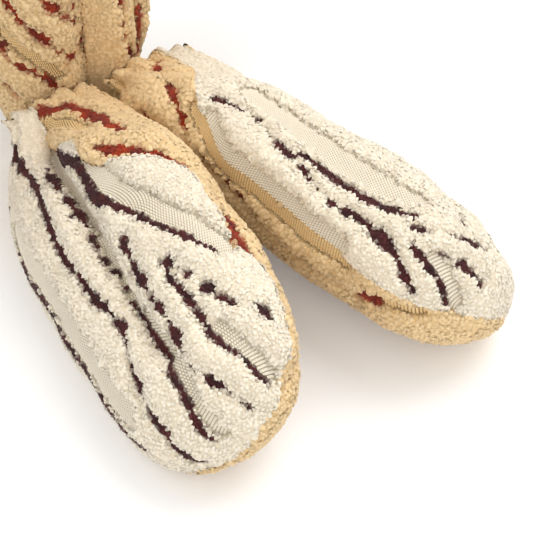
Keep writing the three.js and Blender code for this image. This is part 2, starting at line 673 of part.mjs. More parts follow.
function buildHead() {
  const cheek = rad(FACE_SEAM);
  const rear = rad(REAR_SEAM);
  eggPanels(head, [
    ["face_panel", FRONT - cheek, FRONT + cheek, BODY_COLUMNS, TAN],
    ["cheek_panel_left", FRONT + cheek, rear, CHEEK_COLUMNS, CREAM],
    ["head_back_panel", rear, Math.PI - rear, BODY_COLUMNS, CREAM],
    ["cheek_panel_right", Math.PI - rear, FRONT - cheek + 2 * Math.PI, CHEEK_COLUMNS, CREAM],
  ]);
  add("head_filling", core(head.point, BODY_ROWS, 2 * BODY_COLUMNS, depthOf(2, FABRIC, FILL_GAP)), WADDING);

  const grown = (u, bearing) => head.point(u, bearing, -SEAM_GAP - SEWN_GAP);
  const headTool = core(grown, 2 * BODY_ROWS, 6 * BODY_COLUMNS, 0);
  const snout = head.seat(headBase + MUZZLE_HEIGHT, FRONT);
  snout.normal.set(0, -1, 0);
  const muzzleBall = (growth) =>
    pad(
      snout,
      [MUZZLE_HALF_WIDTH + growth, 2 * MUZZLE_REACH + growth, MUZZLE_HALF_HEIGHT + growth],
      MUZZLE_REACH + growth,
      MUZZLE_SIDES,
    );
  add("muzzle", cut(muzzleBall(0), headTool), TAN);

  const bridge = {
    place: snout.place.clone().add(new THREE.Vector3(0, -MUZZLE_REACH * NOSE_FORWARD, NOSE_RISE)),
    normal: new THREE.Vector3(0, -1, 0),
  };
  const nose = pad(bridge, [NOSE_HALF_WIDTH, 2 * NOSE_REACH, NOSE_HALF_HEIGHT], NOSE_REACH, NOSE_SIDES);
  add("nose", cut(nose, muzzleBall(SEWN_GAP)), STITCHING);

  for (const [name, side] of [["right_eye", -1], ["left_eye", 1]]) {
    const socket = head.seat(headBase + EYE_HEIGHT, FRONT + side * rad(EYE_BEARING));
    const eye = pad(socket, [EYE_RADIUS, 2 * EYE_REACH, EYE_RADIUS], EYE_REACH, EYE_SIDES);
    add(name, cut(eye, headTool), STITCHING);
  }
}

buildTorso();
buildSqueaker();
buildLeg("right_leg", -1, RIGHT_LEG_SEAM, RIGHT_LEG_FOLDS, RIGHT_LEG_SWELLS);
buildLeg("left_leg", 1, LEFT_LEG_SEAM, LEFT_LEG_FOLDS, LEFT_LEG_SWELLS);
buildArm("right_arm", -1);
buildArm("left_arm", 1);
buildHead();
buildEar("right_ear", -1);
buildEar("left_ear", 1);

// The origin is under the middle of the whole toy, on the table.
const whole = new THREE.Box3().setFromObject(toy);
const part = new THREE.Group();
toy.position.set(0, -(whole.min.y + whole.max.y) / 2, -whole.min.z);
part.add(toy);

export default part;
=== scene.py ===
"""Looks of a plush squeaky dog toy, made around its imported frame.

Every stuffed form is skinned with striped pile fabric: a backing that follows the form, tufts of
yarn on its ribs, short coloured tufts on its accent stripes, and woven stitches on the flat ground
between the ribs. Lengths inside the classes are millimetres in the part's own frame, and the
meshes are made in metres.
"""

import json
import logging
import math
from dataclasses import dataclass, field
from enum import Enum
from functools import partial
from typing import Callable, Sequence, Union

import bmesh
import bpy
import numpy as np
from bpy.types import Collection, Material, Mesh, Node, NodeOutputs, NodeSocket, NodeTree
from bpy.types import Object, Scene
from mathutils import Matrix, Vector


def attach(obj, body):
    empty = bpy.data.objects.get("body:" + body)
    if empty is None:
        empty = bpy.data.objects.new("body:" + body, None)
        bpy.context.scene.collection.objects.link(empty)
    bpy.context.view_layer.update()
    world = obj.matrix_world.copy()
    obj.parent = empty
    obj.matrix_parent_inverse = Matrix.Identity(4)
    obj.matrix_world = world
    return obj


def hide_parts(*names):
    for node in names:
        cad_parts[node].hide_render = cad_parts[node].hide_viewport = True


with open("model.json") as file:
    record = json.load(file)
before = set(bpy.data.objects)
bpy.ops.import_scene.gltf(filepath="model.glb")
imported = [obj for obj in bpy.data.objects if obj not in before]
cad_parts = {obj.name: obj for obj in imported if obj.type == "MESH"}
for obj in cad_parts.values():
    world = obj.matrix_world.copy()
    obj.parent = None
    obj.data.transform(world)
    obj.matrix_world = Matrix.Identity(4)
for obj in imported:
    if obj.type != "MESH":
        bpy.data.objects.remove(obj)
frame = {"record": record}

LOG = logging.getLogger("plush_toy")
Array = np.ndarray
Bearing = Callable[[Array], Array]
Point = tuple[float, float, float]
Colour = tuple[float, float, float]
Path = tuple[tuple[float, float], ...]
Feed = Union[NodeSocket, float, tuple[float, ...]]
MM = 0.001
QUARTER_TURN = math.pi / 2
FRONT = -90.0  # bearing of the side that the toy faces
FABRIC = 4.5  # thickness of the fabric with its pile
PINCHED_FABRIC = 1.6  # the same in a pinched seam
BACKING = 1.0  # depth of the backing's inner wall
GRID = 0.95  # cell of a backing's net
COARSER = 3  # cells of the backing's outer wall to one of its inner wall
LENGTH_SAMPLES = 500  # places at which the length of a panel is measured
WIDTH_SAMPLES = 40  # places at which its width is measured
UV_NAME = "OFBake"


class Zone(Enum):
    """What a place on the fabric is covered with."""

    PILE = 0
    ACCENT = 1
    GROUND = 2


class Dye(Enum):
    """The two dyes of the pile fabric, and the embroidery thread."""

    CREAM = "cream"
    TAN = "tan"
    THREAD = "thread"


class Draw(Enum):
    """What a panel draws noise of its own for, as a step on from its seed."""

    RIB_SWAY = 5
    WIDE_RIPPLE = 9
    FINE_RIPPLE = 13
    RAGGED = 17
    SWAY = 21
    NOD = 27
    FADE = 31
    CLUMP = 37


def lerp(a: Array, b: Array, t: Array) -> Array:
    """Mixes a and b by t."""
    return a + (b - a) * t


def smoothstep(x: Array, low: float, high: float) -> Array:
    """Eases from 0 at low to 1 at high."""
    t = np.clip((x - low) / (high - low), 0, 1)
    return t * t * (3 - 2 * t)


def swell(share: Array) -> Array:
    """Quarter sine that grows from 0 to 1."""
    return np.sin(np.minimum(share, 1) * QUARTER_TURN)


def unit(v: Array) -> Array:
    """Scales vectors to length 1, and leaves null vectors alone."""
    return v / np.maximum(np.linalg.norm(v, axis=-1, keepdims=True), 1e-9)


NOISE_ORDER = np.random.default_rng(5).permutation(256)
NOISE_SLOPES = unit(np.random.default_rng(6).normal(size=(256, 3)))
NOISE_REACH = 1.6


def lumps(points: Array, size: float, seed: float) -> Array:
    """Smooth noise at points.

    Args:
        points: Places in millimetres, with the coordinates in the last axis.
        size: Width of a lump in millimetres.
        seed: Offset that picks the pattern.

    Returns:
        Noise from about -1 to 1, one value for each place.
    """
    count = len(NOISE_ORDER)
    spot = points / size + seed
    cell = np.floor(spot).astype(int)
    part = spot - cell
    ease = part**3 * (part * (part * 6 - 15) + 10)
    total = np.zeros(points.shape[:-1])
    for corner in np.ndindex(2, 2, 2):
        x, y, z = np.moveaxis(cell + corner, -1, 0) % count
        row = NOISE_ORDER[(NOISE_ORDER[x] + y) % count]
        slope = NOISE_SLOPES[NOISE_ORDER[(row + z) % count]]
        share = np.prod(np.where(corner, ease, 1 - ease), axis=-1)
        total += share * (slope * (part - corner)).sum(-1)
    return NOISE_REACH * total


def joint_place(name: str) -> Array:
    """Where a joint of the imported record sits, in millimetres."""
    for joint in frame["record"]["behaviour"]["joints"]:
        if joint["name"] == name:
            return np.array(joint["pos_m"]) / MM
    raise KeyError(name)


NECK = joint_place("neck")


class Form:
    """A stuffed form, with its surface given by u, from root to tip, and a bearing in degrees."""

    span = (0.0, 1.0)

    def place(self, u: Array, bearing: Array, lift: Array) -> Array:
        """Places on the form, at a lift over its backing."""
        raise NotImplementedError

    def fabric(self, u: Array) -> Array:
        """Thickness of the fabric with its pile."""
        return np.full_like(u, FABRIC)

    def u_at(self, along: Array) -> Array:
        """The u of a place given by its distance along the form."""
        raise NotImplementedError


@dataclass(frozen=True)
class Egg(Form):
    """A round form between two heights, such as the torso or the head."""

    bottom: float
    widest: float
    top: float
    half_width: float
    half_depth: float
    lower_share: float
    upper_power: float
    lower_power: float
    cleft: float
    plan: float
    span: tuple[float, float]
    round_power: float = 2.4
    cleft_spread: float = 9.0
    upper_rows: float = 0.5
    lower_rows: float = 0.42

    def share(self, z: Array, inset: Array) -> Array:
        """Share of its full width that the form has at a height."""
        over = np.clip((z - self.widest) / (self.top - inset - self.widest), 0, 1)
        under = self.lower_share * (self.widest - z) / (self.widest - self.bottom - inset)
        upper = np.maximum(1 - over**self.round_power, 0) ** self.upper_power
        lower = np.maximum(1 - np.clip(under, 0, 1) ** self.round_power, 0) ** self.lower_power
        return np.where(z >= self.widest, upper, lower)

    def oval(self, part: Array) -> Array:
        """Turns a cosine or sine of a circle into one of the form's fuller plan."""
        return np.sign(part) * np.abs(part) ** (2 / self.plan)

    def place(self, u: Array, bearing: Array, lift: Array) -> Array:
        """Places on the egg, at a lift over its backing."""
        inset = FABRIC - lift
        angle = np.radians(bearing)
        rise = np.cos(np.clip(u / self.upper_rows, 0, 1) * QUARTER_TURN)
        upper = lerp(self.widest, self.top - inset, rise)
        fall = swell(np.maximum(u - self.upper_rows, 0) / self.lower_rows)
        lower = lerp(self.widest, self.bottom + inset, fall)
        z = np.where(u < self.upper_rows, upper, lower)
        flat_start = self.upper_rows + self.lower_rows
        flat = np.clip((1 - u) / (1 - flat_start), 0, 1)
        share = self.share(z, inset) * np.where(u > flat_start, flat, 1)
        off_front = np.degrees(np.arccos(np.clip(-np.sin(angle), -1, 1)))
        share = share * (1 - self.cleft * np.exp(-((off_front / self.cleft_spread) ** 2)))
        x = (self.half_width - inset) * share * self.oval(np.cos(angle))
        y = (self.half_depth - inset) * share * self.oval(np.sin(angle))
        return np.stack([x, y + NECK[1], z + 0 * x], -1)

    def u_at(self, along: Array) -> Array:
        """The u of a height."""
        over = np.clip((along - self.widest) / (self.top - self.widest), 0, 1)
        under = np.clip((self.widest - along) / (self.widest - self.bottom), 0, 1)
        upper = np.arccos(over) * self.upper_rows / QUARTER_TURN
        lower = self.upper_rows + self.lower_rows * np.arcsin(under) / QUARTER_TURN
        return np.where(along >= self.widest, upper, lower)


@dataclass(frozen=True)
class LimbSizes:
    """Sizes of a limb: its length and round tip, and half sizes at the root and past the flare."""

    length: float
    tip: float
    flare: float
    half_width: float
    half_depth: float
    root_half_width: float
    root_half_depth: float


@dataclass(frozen=True)
class Swell:
    """A fuller or slimmer side of a limb, and the distances over which it comes and goes."""

    grow: float
    bearing: float
    come: tuple[float, float]
    go: tuple[float, float]

    def at(self, reach: Array, bearing: Array) -> Array:
        """How much fuller the limb is at a distance and a bearing."""
        facing = np.maximum(np.cos(np.radians(bearing - self.bearing)), 0)
        grown = self.grow * facing * smoothstep(reach, *self.come)
        return grown * (1 - smoothstep(reach, *self.go))


@dataclass(frozen=True)
class Slant:
    """A seam that slants over a limb's top, from a bearing, by turns each between two distances."""

    start: float
    turns: tuple[tuple[float, float, float], ...]

    def at(self, s: Array) -> Array:
        """Bearing of the seam at a distance."""
        turned = sum(turn * smoothstep(s, come, gone) for come, gone, turn in self.turns)
        return self.start + turned


@dataclass(frozen=True)
class Limb(Form):
    """Oval rings along a spine, from a pinched and rounded seam to a round tip."""

    sizes: LimbSizes
    start: Array
    side: float
    root_end: float = 0.12
    tip_start: float = 0.72
    root_round: float = math.radians(70)

    def straight(self, u: Array) -> Array:
        """Distance along the straight part."""
        share = np.clip((u - self.root_end) / (self.tip_start - self.root_end), 0, 1)
        return share * (self.sizes.length - self.sizes.tip)

    def u_at(self, along: Array) -> Array:
        """The u of a distance along the limb, tip included."""
        k = self.sizes
        body = self.root_end + (self.tip_start - self.root_end) * along / (k.length - k.tip)
        beyond = np.clip((along - k.length + k.tip) / k.tip, 0, 1)
        end = self.tip_start + (1 - self.tip_start) * np.arcsin(beyond) / QUARTER_TURN
        return np.where(along < k.length - k.tip, body, end)

    def fabric(self, u: Array) -> Array:
        """Thickness of the fabric, which the root seam pinches."""
        return lerp(PINCHED_FABRIC, FABRIC, swell(self.straight(u) / self.sizes.flare))

    def axes(self, s: Array) -> tuple[Array, Array]:
        """Axes of the rings at s: along the seam, and out of the face."""
        raise NotImplementedError

    def spine(self, along: Array, s: Array) -> Array:
        """Middles of the rings."""
        raise NotImplementedError

    def fuller(self, reach: Array, bearing: Array) -> Array:
        """How much fuller than an oval the limb is."""
        return 0.0 * reach

    def place(self, u: Array, bearing: Array, lift: Array) -> Array:
        """Places on the limb, at a lift over its backing."""
        k = self.sizes
        s = self.straight(u)
        grown = swell(s / k.flare)
        inset = self.fabric(u) - lift
        root = np.clip(1 - u / self.root_end, 0, 1) * self.root_round
        tip = np.clip((u - self.tip_start) / (1 - self.tip_start), 0, 1) * QUARTER_TURN
        drawn = inset - self.fuller(s + np.sin(tip) * k.tip, bearing)
        a = (lerp(k.root_half_width, k.half_width, grown) - drawn) * np.cos(tip)
        b = (lerp(k.root_half_depth, k.half_depth, grown) - drawn) * np.cos(tip) * np.cos(root)
        along = s + np.sin(tip) * (k.tip - inset) - np.sin(root) * (k.root_half_depth - inset)
        seam, face = self.axes(s)
        angle = np.radians(bearing)
        ring = seam * (a * np.cos(angle))[..., None] + face * (b * np.sin(angle))[..., None]
        return self.spine(along, s) + ring


@dataclass(frozen=True)
class LegForm(Limb):
    """A leg that lies on the table, splayed and with its inner edge rolled up."""

    roll: float = math.radians(40)
    splay: float = 19.0
    curve: float = 2.4
    floor_cut: float = 0.5
    swells: tuple[Swell, ...] = ()

    def fuller(self, reach: Array, bearing: Array) -> Array:
        """How much fuller than an oval the leg is."""
        return sum((one.at(reach, bearing) for one in self.swells), 0.0 * reach)

    def rolled(self, s: Array) -> Array:
        """How far the rings at s are rolled."""
        return self.roll * swell(s / self.sizes.flare)

    def axes(self, s: Array) -> tuple[Array, Array]:
        """Axes of the rolled rings."""
        angle = self.rolled(s)
        none = np.zeros_like(angle)
        seam = np.stack([-self.side * np.cos(angle), none, np.sin(angle)], -1)
        face = np.stack([self.side * np.sin(angle), none, np.cos(angle)], -1)
        return seam, face

    def spine(self, along: Array, s: Array) -> Array:
        """Middles of the rings, which come down from the hip to lie on the table."""
        k = self.sizes
        grown = swell(s / k.flare)
        tall = lerp(k.root_half_width, k.half_width, grown) * np.sin(self.rolled(s))
        flat = lerp(k.root_half_depth, k.half_depth, grown) * np.cos(self.rolled(s))
        lying = np.hypot(tall, flat) - self.floor_cut
        out = self.splay * (1 - (1 - np.maximum(along, 0) / k.length) ** self.curve)
        x = self.start[0] + self.side * out
        return np.stack([x, self.start[1] - along, lerp(self.start[2], lying, grown**2)], -1)

    def place(self, u: Array, bearing: Array, lift: Array) -> Array:
        """Places on the leg, kept over the table."""
        found = super().place(u, bearing, lift)
        found[..., 2] = np.maximum(found[..., 2], self.fabric(u) - lift)
        return found


@dataclass(frozen=True)
class HangingForm(Limb):
    """An arm or an ear: it bends over its flare and then hangs straight."""

    root_drop: float = 0.0
    drop: float = 45.0

    def down(self, s: Array) -> Array:
        """Angle below level at s."""
        share = np.clip(s / self.sizes.flare, 0, 1)
        return np.radians(lerp(self.root_drop, self.drop, share))

    def out(self, angle: Array) -> Array:
        """Direction along the limb at an angle below level."""
        return np.stack([self.side * np.cos(angle), 0 * angle, -np.sin(angle)], -1)

    def over(self, angle: Array) -> Array:
        """Direction out of the limb's face at an angle below level."""
        return np.stack([self.side * np.sin(angle), 0 * angle, np.cos(angle)], -1)

    def axes(self, s: Array) -> tuple[Array, Array]:
        """Axes of the rings along the bend."""
        seam = np.broadcast_to(np.array([0.0, -self.side, 0.0]), s.shape + (3,))
        return seam, self.over(self.down(s))

    def spine(self, along: Array, s: Array) -> Array:
        """Middles of the rings along the bend."""
        radius = self.sizes.flare / math.radians(self.drop - self.root_drop)
        bent = np.clip(along, 0, self.sizes.flare)
        angle = self.down(bent)
        centre = self.start - radius * self.over(np.radians(np.array(self.root_drop)))
        return centre + radius * self.over(angle) + self.out(angle) * (along - bent)[..., None]


@dataclass(frozen=True)
class Dome(Form):
    """An oval pad that stands out of the head."""

    centre: Array
    axis: Array
    across: float
    out: float
    up: float
    rim: float
    thickness: float

    def fabric(self, u: Array) -> Array:
        """Thickness of the pad's cover."""
        return np.full_like(u, self.thickness)

    def place(self, u: Array, bearing: Array, lift: Array) -> Array:
        """Places on the pad, from its middle at u = 0 to its rim at u = 1."""
        inset = self.thickness - lift
        sideways = unit(np.cross(self.axis, [0.0, 0.0, 1.0]))
        upward = np.cross(sideways, self.axis)
        tilt, angle = np.radians(self.rim) * u, np.radians(bearing)
        parts = (
            (sideways, (self.across - inset) * np.sin(tilt) * np.cos(angle)),
            (upward, (self.up - inset) * np.sin(tilt) * np.sin(angle)),
            (self.axis, (self.out - inset) * np.cos(tilt)),
        )
        return self.centre + sum(size[..., None] * axis for axis, size in parts)


@dataclass(frozen=True)
class Ripple:
    """Noise from lumps of two sizes, which makes the width of a stripe uneven."""

    wide: float = 5.0
    fine: float = 2.2
    fine_share: float = 0.6

    def at(self, places: Array, wide_seed: float, fine_seed: float) -> Array:
        """The noise at places."""
        fine = lumps(places, self.fine, fine_seed)
        return lumps(places, self.wide, wide_seed) + self.fine_share * fine


RIPPLE = Ripple()


@dataclass(frozen=True)
class Stripe:
    """A stripe of the fabric along a path of (distance along the form, bearing) pairs.

    It is overhung by the pile beside it, and level says how near it comes to the top of that pile.
    """

    zone: Zone
    width: float
    path: Path
    broken: float = 0.25
    seed: float = 0.0
    level: float = 0.0
    overhung: float = 1.25
    steps: int = 24
    blur: int = 17
    thinned: float = 0.6
    rippled: float = 1.9
    fullest: float = 1.25
    fine_seed: float = 7.0

    def rounded(self, values: Array) -> Array:
        """Rounds the corners of a path."""
        padded = np.pad(values, self.blur // 2, mode="reflect", reflect_type="odd")
        return np.convolve(padded, np.ones(self.blur) / self.blur, "valid")

    def trace(self, form: Form) -> tuple[Array, Array]:
        """Places along the stripe.

        Args:
            form: The form that the stripe runs over.

        Returns:
            Places on the form's backing, and half the stripe's width at each.
        """
        knots = np.array(self.path)
        last = len(knots) - 1
        steps = np.linspace(0, last, self.steps * last + 1)
        values = (np.interp(steps, np.arange(last + 1), knots[:, k]) for k in (0, 1))
        along, bearing = map(self.rounded, values)
        places = form.place(form.u_at(along), bearing, np.zeros_like(along))
        ripple = RIPPLE.at(places, self.seed, self.seed + self.fine_seed)
        kept = 1 - self.broken * self.thinned + self.rippled * self.broken * ripple
        return places, (self.width + self.overhung) / 2 * np.clip(kept, 0.0, self.fullest)


@dataclass(frozen=True)
class Ribs:
    """The fabric's own repeat across its ribs, for panels with stripes straight along them."""

    offset: float = 0.0
    repeat: float = 21.5
    accent: float = 2.2
    ground: float = 3.6
    first_accent: float = 8.0
    ground_middle: float = 18.0
    second_accent: float = 21.0
    accent_ripple: float = 0.9
    ground_ripple: float = 0.2
    usual: float = 0.8
    fullest: float = 1.3
    sway: float = 1.2
    sway_lump: float = 30.0

    def stripes(self) -> tuple[tuple[float, float, float, Zone], ...]:
        """Middle, width, ripple and zone of each stripe in the repeat."""
        return (
            (self.first_accent, self.accent, self.accent_ripple, Zone.ACCENT),
            (self.ground_middle, self.ground, self.ground_ripple, Zone.GROUND),
            (self.second_accent, self.accent, self.accent_ripple, Zone.ACCENT),
        )


@dataclass(frozen=True)
class Crease:
    """A fold drawn into a form along a path of (distance along the form, bearing) pairs."""

    path: Path
    depth: float
    half_width: float


@dataclass
class Survey:
    """What the fabric is like at places on a panel."""

    places: Array
    inner: Array
    normals: Array
    tangents: Array
    tint: Array
    pile: Array
    cover: Array
    lean: Array
    girth: Array
    to_ground: Array


@dataclass(frozen=True)
class Cloth:
    """A dye of the fabric: linear colours of pile, stripes and woven ground, its tufts, and painted
    shade between its woven stitches.
    """

    dye: Dye
    slot: str
    pile: Colour
    accent: Colour
    accent_deep: Colour
    ground: Colour
    tuft_length: float
    tuft_width: float
    tuft_bulb: float
    tuft_bend: float
    standing: float
    # painted shade: share of the ground colour left on the backing between woven stitches
    painted_gap_shade: float
    sheen: float


CREAM = Cloth(
    dye=Dye.CREAM, slot="cream_pile", pile=(0.93, 0.85, 0.71), accent=(0.095, 0.016, 0.016),
    accent_deep=(0.035, 0.006, 0.008), ground=(0.93, 0.845, 0.69), tuft_length=1.25, tuft_width=1.3,
    tuft_bulb=0.82, tuft_bend=0.4, standing=0.5, painted_gap_shade=0.6, sheen=0.06,
)
TAN = Cloth(
    dye=Dye.TAN, slot="tan_pile", pile=(0.9, 0.67, 0.38), accent=(0.43, 0.042, 0.005),
    accent_deep=(0.16, 0.016, 0.008), ground=(0.92, 0.66, 0.33), tuft_length=1.45, tuft_width=1.65,
    tuft_bulb=0.85, tuft_bend=0.4, standing=0.62, painted_gap_shade=0.3, sheen=0.06,
)
DARK_BROWN = (0.05, 0.025, 0.018)
THREAD = Cloth(
    dye=Dye.THREAD, slot="stitching", pile=DARK_BROWN, accent=DARK_BROWN, accent_deep=DARK_BROWN,
    ground=DARK_BROWN, tuft_length=1.0, tuft_width=0.5, tuft_bulb=0.7, tuft_bend=0.1, standing=0.6,
    painted_gap_shade=0.6, sheen=0.3,
)
CLOTHS = (CREAM, TAN, THREAD)


@dataclass(frozen=True)
class Relief:
    """Relief that all panels share: lengths in millimetres, and shares of a tuft's own size.

    A name that ends in lump is the width of the lumps that the value before it is spread over.
    """

    low: float = 1.3
    mound: float = 2.5
    mound_reach: float = 2.2
    accent_rise: float = 1.0
    level_rise: float = 0.4
    clump: float = 0.3
    clump_lump: float = 2.8
    ragged: float = 0.35
    ragged_lump: float = 1.7
    fold: float = 0.7
    fold_lump: float = 17.0
    fold_seed: float = 11.0
    dent: float = 0.35
    dent_lump: float = 8.0
    dent_seed: float = 14.0
    pleat_reach: float = 0.09
    pleats_round: float = 11.0
    rim_reach: float = 0.9
    rim_bare: float = 0.25
    rim_standing: float = 1.25
    rim_girth: float = 0.2
    clump_standing: float = 0.1
    accent_standing: float = 0.6
    stripe_girth: float = 0.9
    lean: float = 0.6
    sway: float = 0.5
    sway_lump: float = 6.0
    fade_middle: float = 0.5
    fade: float = 0.9
    fade_lump: float = 4.0


RELIEF = Relief()


def nearest(places: Array, path: Array) -> tuple[Array, Array]:
    """Distance from each place to a path, and the number of the path's nearest point."""
    flat = places.reshape(-1, 3)
    square = (flat**2).sum(1)[:, None] + (path**2).sum(1)[None, :] - 2 * flat @ path.T
    index = square.argmin(1)
    away = np.sqrt(np.maximum(square[np.arange(len(flat)), index], 0))
    return away.reshape(places.shape[:-1]), index.reshape(places.shape[:-1])


def pressed(form: Form, creases: Sequence[Crease], places: Array) -> Array:
    """How deep creases press into a form at places on it."""
    depth = np.zeros(places.shape[:-1])
    for crease in creases:
        path, _ = Stripe(Zone.GROUND, 0, crease.path, 0).trace(form)
        away = nearest(places, path)[0] / crease.half_width
        depth = np.maximum(depth, crease.depth * np.exp(-(away**2)))
    return depth


@dataclass
class Zoning:
    """The nearest stripe at each place of a net.

    Edge is the distance to that stripe's edge, below 0 inside it, and toward points at its middle.
    """

    edge: Array
    zone: Array
    toward: Array
    level: Array
    far: float = 99.0

    @classmethod
    def over(cls, places: Array, widest_gap: float = 50.0) -> "Zoning":
        """A net that no stripe crosses yet."""
        shape = places.shape[:-1]
        edge = np.full(shape, widest_gap)
        return cls(edge, np.full(shape, Zone.PILE.value), np.zeros(places.shape), np.zeros(shape))

    def offer(self, gap: Array, kind: Zone, toward: Array, level: float = 0.0) -> None:
        """Takes a stripe where it is nearer than those before it.

        Args:
            gap: Distance to the stripe's edge, below 0 inside it.
            kind: What the stripe is covered with.
            toward: Direction to the stripe's middle.
            level: How near the stripe comes to the top of the pile.
        """
        nearer = gap < self.edge
        self.edge[nearer] = gap[nearer]
        self.zone[nearer] = kind.value
        self.toward[nearer] = toward[nearer]
        self.level[nearer] = level

    def inside(self, kind: Zone) -> Array:
        """Whether each place lies in a stripe of a kind."""
        return (self.edge < 0) & (self.zone == kind.value)

    def to_ground(self) -> Array:
        """Distance to woven ground, where that is the nearest stripe."""
        return np.where(self.zone == Zone.GROUND.value, self.edge, self.far)


@dataclass
class Panel:
    """One sewn panel of a form, which stands for a node of the frame."""

    node: str
    body: str
    form: Form
    cloth: Cloth
    start: Bearing
    end: Bearing
    spacing: float = 1.15
    grid: float = GRID
    ribs: Ribs | None = None
    stripes: Sequence[Stripe] = ()
    creases: Sequence[Crease] = ()
    pleats: float = 0.0
    woven: bool = False
    woven_edge: float = -5.0
    seed: int = 1

    def noise(self, places: Array, size: float, draw: Draw) -> Array:
        """The panel's own noise at places."""
        return lumps(places, size, self.seed + draw.value)

    def crossings(self, u: Array, columns: int) -> tuple[Array, Array]:
        """u and bearing of a net's crossings, with a row at each u."""
        shares = np.linspace(0, 1, columns)
        bearing = lerp(self.start(u)[:, None], self.end(u)[:, None], shares[None, :])
        return u[:, None] + 0 * shares, bearing

    def net(self, pitch: float, across: float) -> tuple[Array, Array]:
        """A net over the panel with cells of about one size.

        Args:
            pitch: Length of a cell along the form.
            across: Width of a cell.

        Returns:
            u and bearing of the net's crossings, with a row for each distance along the form.
        """
        fine = np.linspace(*self.form.span, LENGTH_SAMPLES)
        middle = (self.start(fine) + self.end(fine)) / 2
        line = self.form.place(fine, middle, np.zeros_like(fine))
        steps = np.linalg.norm(np.diff(line, axis=0), axis=1)
        length = np.concatenate([[0], np.cumsum(steps)])
        rows = COARSER * math.ceil(length[-1] / pitch / COARSER)
        u = np.interp(np.linspace(0, length[-1], rows + 1), length, fine)
        sampled, bearing = self.crossings(u, WIDTH_SAMPLES)
        ring = self.form.place(sampled, bearing, np.zeros_like(sampled))
        widest = np.linalg.norm(np.diff(ring, axis=1), axis=2).sum(1).max()
        columns = COARSER * math.ceil(widest / across / COARSER)
        return self.crossings(u, columns + 1)

    def lift(self, u: Array, bearing: Array, places: Array) -> Array:
        """How far folds, pleats and lumps move the backing out or in."""
        if self.woven:
            return np.zeros_like(u)
        r = RELIEF
        moved = r.fold * lumps(places, r.fold_lump, r.fold_seed)
        moved = moved + r.dent * lumps(places, r.dent_lump, r.dent_seed)
        if self.pleats:
            past_root = np.maximum(u - self.form.u_at(np.array(0.0)), 0)
            fade = np.exp(-past_root / r.pleat_reach)
            moved = moved + self.pleats * fade * np.sin(np.radians(bearing) * r.pleats_round)
        return moved - pressed(self.form, self.creases, places)

    def zoning(self, bare: Array, across: Array) -> Zoning:
        """Finds the nearest stripe at each place of a net.

        Args:
            bare: Places on the form's backing.
            across: Directions along the net's rows.

        Returns:
            The nearest stripes.
        """
        found = Zoning.over(bare)
        ragged = RELIEF.ragged * self.noise(bare, RELIEF.ragged_lump, Draw.RAGGED)
        for stripe in self.stripes:
            path, half = stripe.trace(self.form)
            away, index = nearest(bare, path)
            gap = away - half[index] * (1 + ragged)
            found.offer(gap, stripe.zone, path[index] - bare, stripe.level)
        if self.ribs:
            self.lay_ribs(found, bare, across)
        if self.woven:
            found.edge[:], found.zone[:] = self.woven_edge, Zone.GROUND.value
        return found

    def lay_ribs(self, found: Zoning, bare: Array, across: Array) -> None:
        """Adds the stripes of the fabric's own repeat to a net.

        Args:
            found: The net's nearest stripes, which are added to.
            bare: Places on the form's backing.
            across: Directions along the net's rows.
        """
        ribs = self.ribs
        steps = np.linalg.norm(np.diff(bare, axis=1), axis=2)
        reach = np.concatenate([np.zeros((len(bare), 1)), np.cumsum(steps, axis=1)], 1)
        sway = ribs.sway * self.noise(bare, ribs.sway_lump, Draw.RIB_SWAY)
        reach = reach - reach[:, -1:] / 2 + ribs.offset + sway
        seeds = (self.seed + draw.value for draw in (Draw.WIDE_RIPPLE, Draw.FINE_RIPPLE))
        ripple = RIPPLE.at(bare, *seeds)
        for middle, width, rippled, kind in ribs.stripes():
            aside = (reach - middle + ribs.repeat / 2) % ribs.repeat - ribs.repeat / 2
            half = width / 2 * np.clip(ribs.usual + rippled * ripple, 0, ribs.fullest)
            found.offer(np.abs(aside) - half, kind, -np.sign(aside)[..., None] * across)

    def tinted(self, accent: Array, ground: Array, places: Array) -> Array:
        """Colours of the fabric, from where its accent stripes and its woven ground lie, with
        painted shade on the backing between woven stitches.
        """
        fade = RELIEF.fade * self.noise(places, RELIEF.fade_lump, Draw.FADE)
        fade = np.clip(RELIEF.fade_middle + fade, 0, 1)[..., None]
        dark = lerp(np.array(self.cloth.accent_deep), np.array(self.cloth.accent), fade)
        tint = np.where(accent[..., None], dark, np.array(self.cloth.pile))
        # painted shade: the backing under woven ground is darkened so the gaps between stitches
        # look shadowed
        return np.where(ground[..., None], self.cloth.painted_gap_shade * np.array(self.cloth.ground), tint)

    def survey(self, u: Array, bearing: Array) -> Survey:
        """What the fabric is like over a net of places.

        Args:
            u: Rows of the net.
            bearing: Bearings of the net, in degrees.

        Returns:
            Places, normals, colours and tufts, one for each crossing of the net.
        """
        r = RELIEF
        bare = self.form.place(u, bearing, np.zeros_like(u))
        across = unit(np.gradient(bare, axis=1))
        stripes = self.zoning(bare, across)
        inside = stripes.edge < 0
        accent, ground = stripes.inside(Zone.ACCENT), stripes.inside(Zone.GROUND)
        beside = np.maximum(stripes.edge, 0)
        near, rim = np.exp(-beside / r.mound_reach), np.exp(-beside / r.rim_reach)
        thin = np.sqrt(self.form.fabric(u) / FABRIC)
        clump = self.noise(bare, r.clump_lump, Draw.CLUMP)

        heap = r.low + r.mound * (1 - near * (1 - stripes.level)) + r.clump * clump
        sunk = np.where(accent, r.accent_rise, 0.0) + stripes.level * (r.mound + r.level_rise)
        moved = self.lift(u, bearing, bare)
        places = self.form.place(u, bearing, moved + np.where(inside, sunk, heap) * thin)
        tangents = unit(np.gradient(places, axis=0))
        normals = unit(np.cross(unit(np.gradient(places, axis=1)), tangents))
        if (normals * (bare - bare.mean(1, keepdims=True))).sum() < 0:
            normals = -normals

